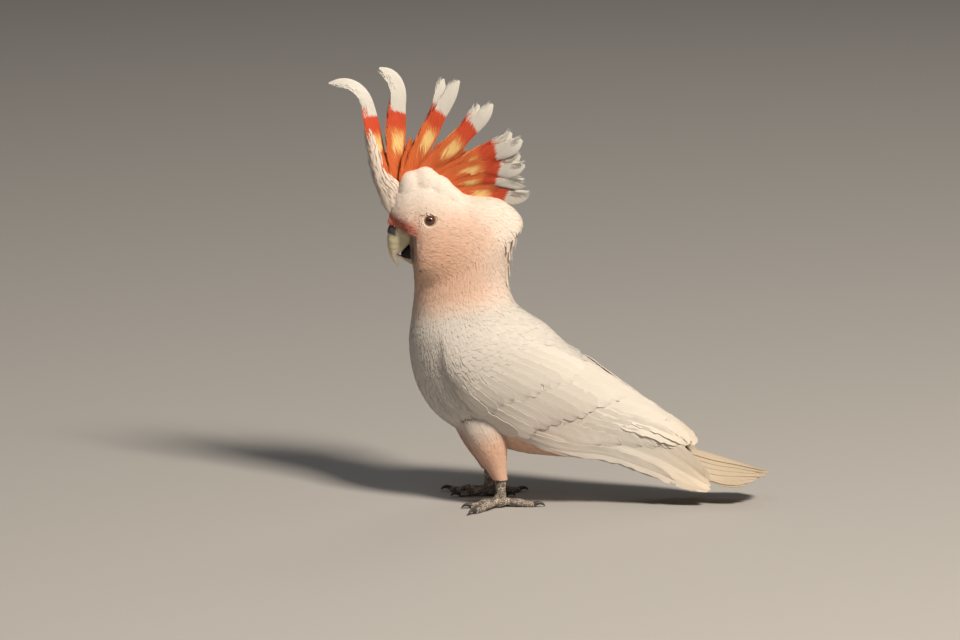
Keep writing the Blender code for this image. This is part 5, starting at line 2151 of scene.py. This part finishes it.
@dataclass
class Studio:
    """Floor, lights and camera. Azimuth 0 is the camera's side, and grows towards the tail."""

    centre: tuple = (-16.4, 0.0, 151.5)
    elevation: float = 10.0
    distance: float = 5.0
    width_seen: float = 0.7872
    floor_reach: float = 30.0
    sky: tuple = (0.86, 0.87, 0.90, 1.0)
    sky_strength: float = 0.05
    sensor: float = 36.0
    reach: float = 4.0
    lamps: tuple = (
        Lamp("key", 36.0, 47.0, 0.8, 215.0, (1.0, 0.89, 0.75)),
        Lamp("fill", -35.0, 62.0, 2.0, 14.0, (0.95, 0.96, 1.0)),
        Lamp("back", 160.0, 45.0, 1.6, 16.0, (1.0, 0.95, 0.88)),
    )

    def aim(self, made: Object, azimuth: float, elevation: float, distance: float) -> None:
        """Puts a camera or a lamp at a distance from the bird, turned towards its centre."""
        turn, rise = math.radians(azimuth), math.radians(elevation)
        middle = Vector(np.array(self.centre) * MM + ROW_SHIFT)
        way = Vector((math.sin(turn) * math.cos(rise), -math.cos(turn) * math.cos(rise), math.sin(rise)))
        made.location = middle + way * distance
        made.rotation_euler = (middle - made.location).to_track_quat("-Z", "Y").to_euler()

    def build(self, finish: Material) -> None:
        """Makes the floor, the world's light, the lamps and the camera."""
        scene = bpy.context.scene
        mesh = bpy.data.meshes.new("floor")
        corners = ((-1, -1), (1, -1), (1, 1), (-1, 1))
        mesh.from_pydata([(self.floor_reach * x, self.floor_reach * y, 0) for x, y in corners], [],
                         [(0, 1, 2, 3)])
        mesh.materials.append(finish)
        floor = placed("floor", mesh)
        scene.world = bpy.data.worlds.new("studio")
        scene.world.use_nodes = True
        sky = scene.world.node_tree.nodes["Background"].inputs
        sky["Color"].default_value = self.sky
        sky["Strength"].default_value = self.sky_strength
        scene.view_settings.view_transform = "Standard"
        for lamp in self.lamps:
            light = bpy.data.lights.new(lamp.name, "AREA")
            light.size = lamp.size
            light.energy = lamp.watts
            light.color = lamp.colour
            self.aim(placed(lamp.name, light), lamp.azimuth, lamp.elevation, self.reach)
        lens = bpy.data.cameras.new("camera")
        lens.sensor_width = self.sensor
        lens.lens = self.sensor * self.distance / self.width_seen
        lens.clip_end = 100.0
        scene.camera = placed("camera", lens)
        self.aim(scene.camera, 0.0, self.elevation, self.distance)


# -------------------------------------------------------------------------------- all together


def main() -> None:
    """Builds the bird and its studio."""
    logging.basicConfig(level=logging.INFO, format="%(message)s")
    plumage = PlumageFinish().build()
    quills = QuillFinish().build()
    bill_horn = HornFinish("bill horn", 0.42, pale=(0.76, 0.68, 0.48), dark=(0.56, 0.50, 0.30),
                           tint=(0.78, 0.65, 0.50)).build()
    claw_horn = HornFinish("claw horn", 0.4, pale=(0.09, 0.08, 0.075), dark=(0.03, 0.028, 0.028),
                           tint=(0.1, 0.09, 0.08)).build()
    tongue = HornFinish("tongue skin", 0.5, pale=(0.02, 0.016, 0.017), dark=(0.01, 0.008, 0.01),
                        tint=(0.02, 0.015, 0.015)).build()
    leg_skin, lids, eye = ScalySkinFinish().build(), LidFinish().build(), EyeFinish().build()
    limbs = [Limb(Side.LEFT, 0.0, 24.0, 30.0), Limb(Side.RIGHT, -9.0, 24.0, 2.0)]
    Studio().build(PlainFinish("pale floor", 0.9).build())
    Skin().build(plumage, limbs)
    for side in Side:
        socket = EyeSocket(side)
        socket.ball(eye)
        socket.ring(lids)
        Wing(side, quills, over=0.4 if side is Side.LEFT else -0.4).build()
    Bill().build(bill_horn, tongue)
    BodyCoat(plumage).build()
    for limb in limbs:
        leg = Leg(limb)
        leg.thigh_coat(plumage)
        leg.foot(leg_skin, claw_horn)
    # the tail's quill finish is a darker copy of the wings' quill finish: painted shade
    Tail().build(QuillFinish("tail vanes", white=(0.56, 0.51, 0.44), cream=(0.52, 0.40, 0.26)).build())
    Crest().build(CrestFinish().build(), plumage)


if __name__ == "__main__":
    main()
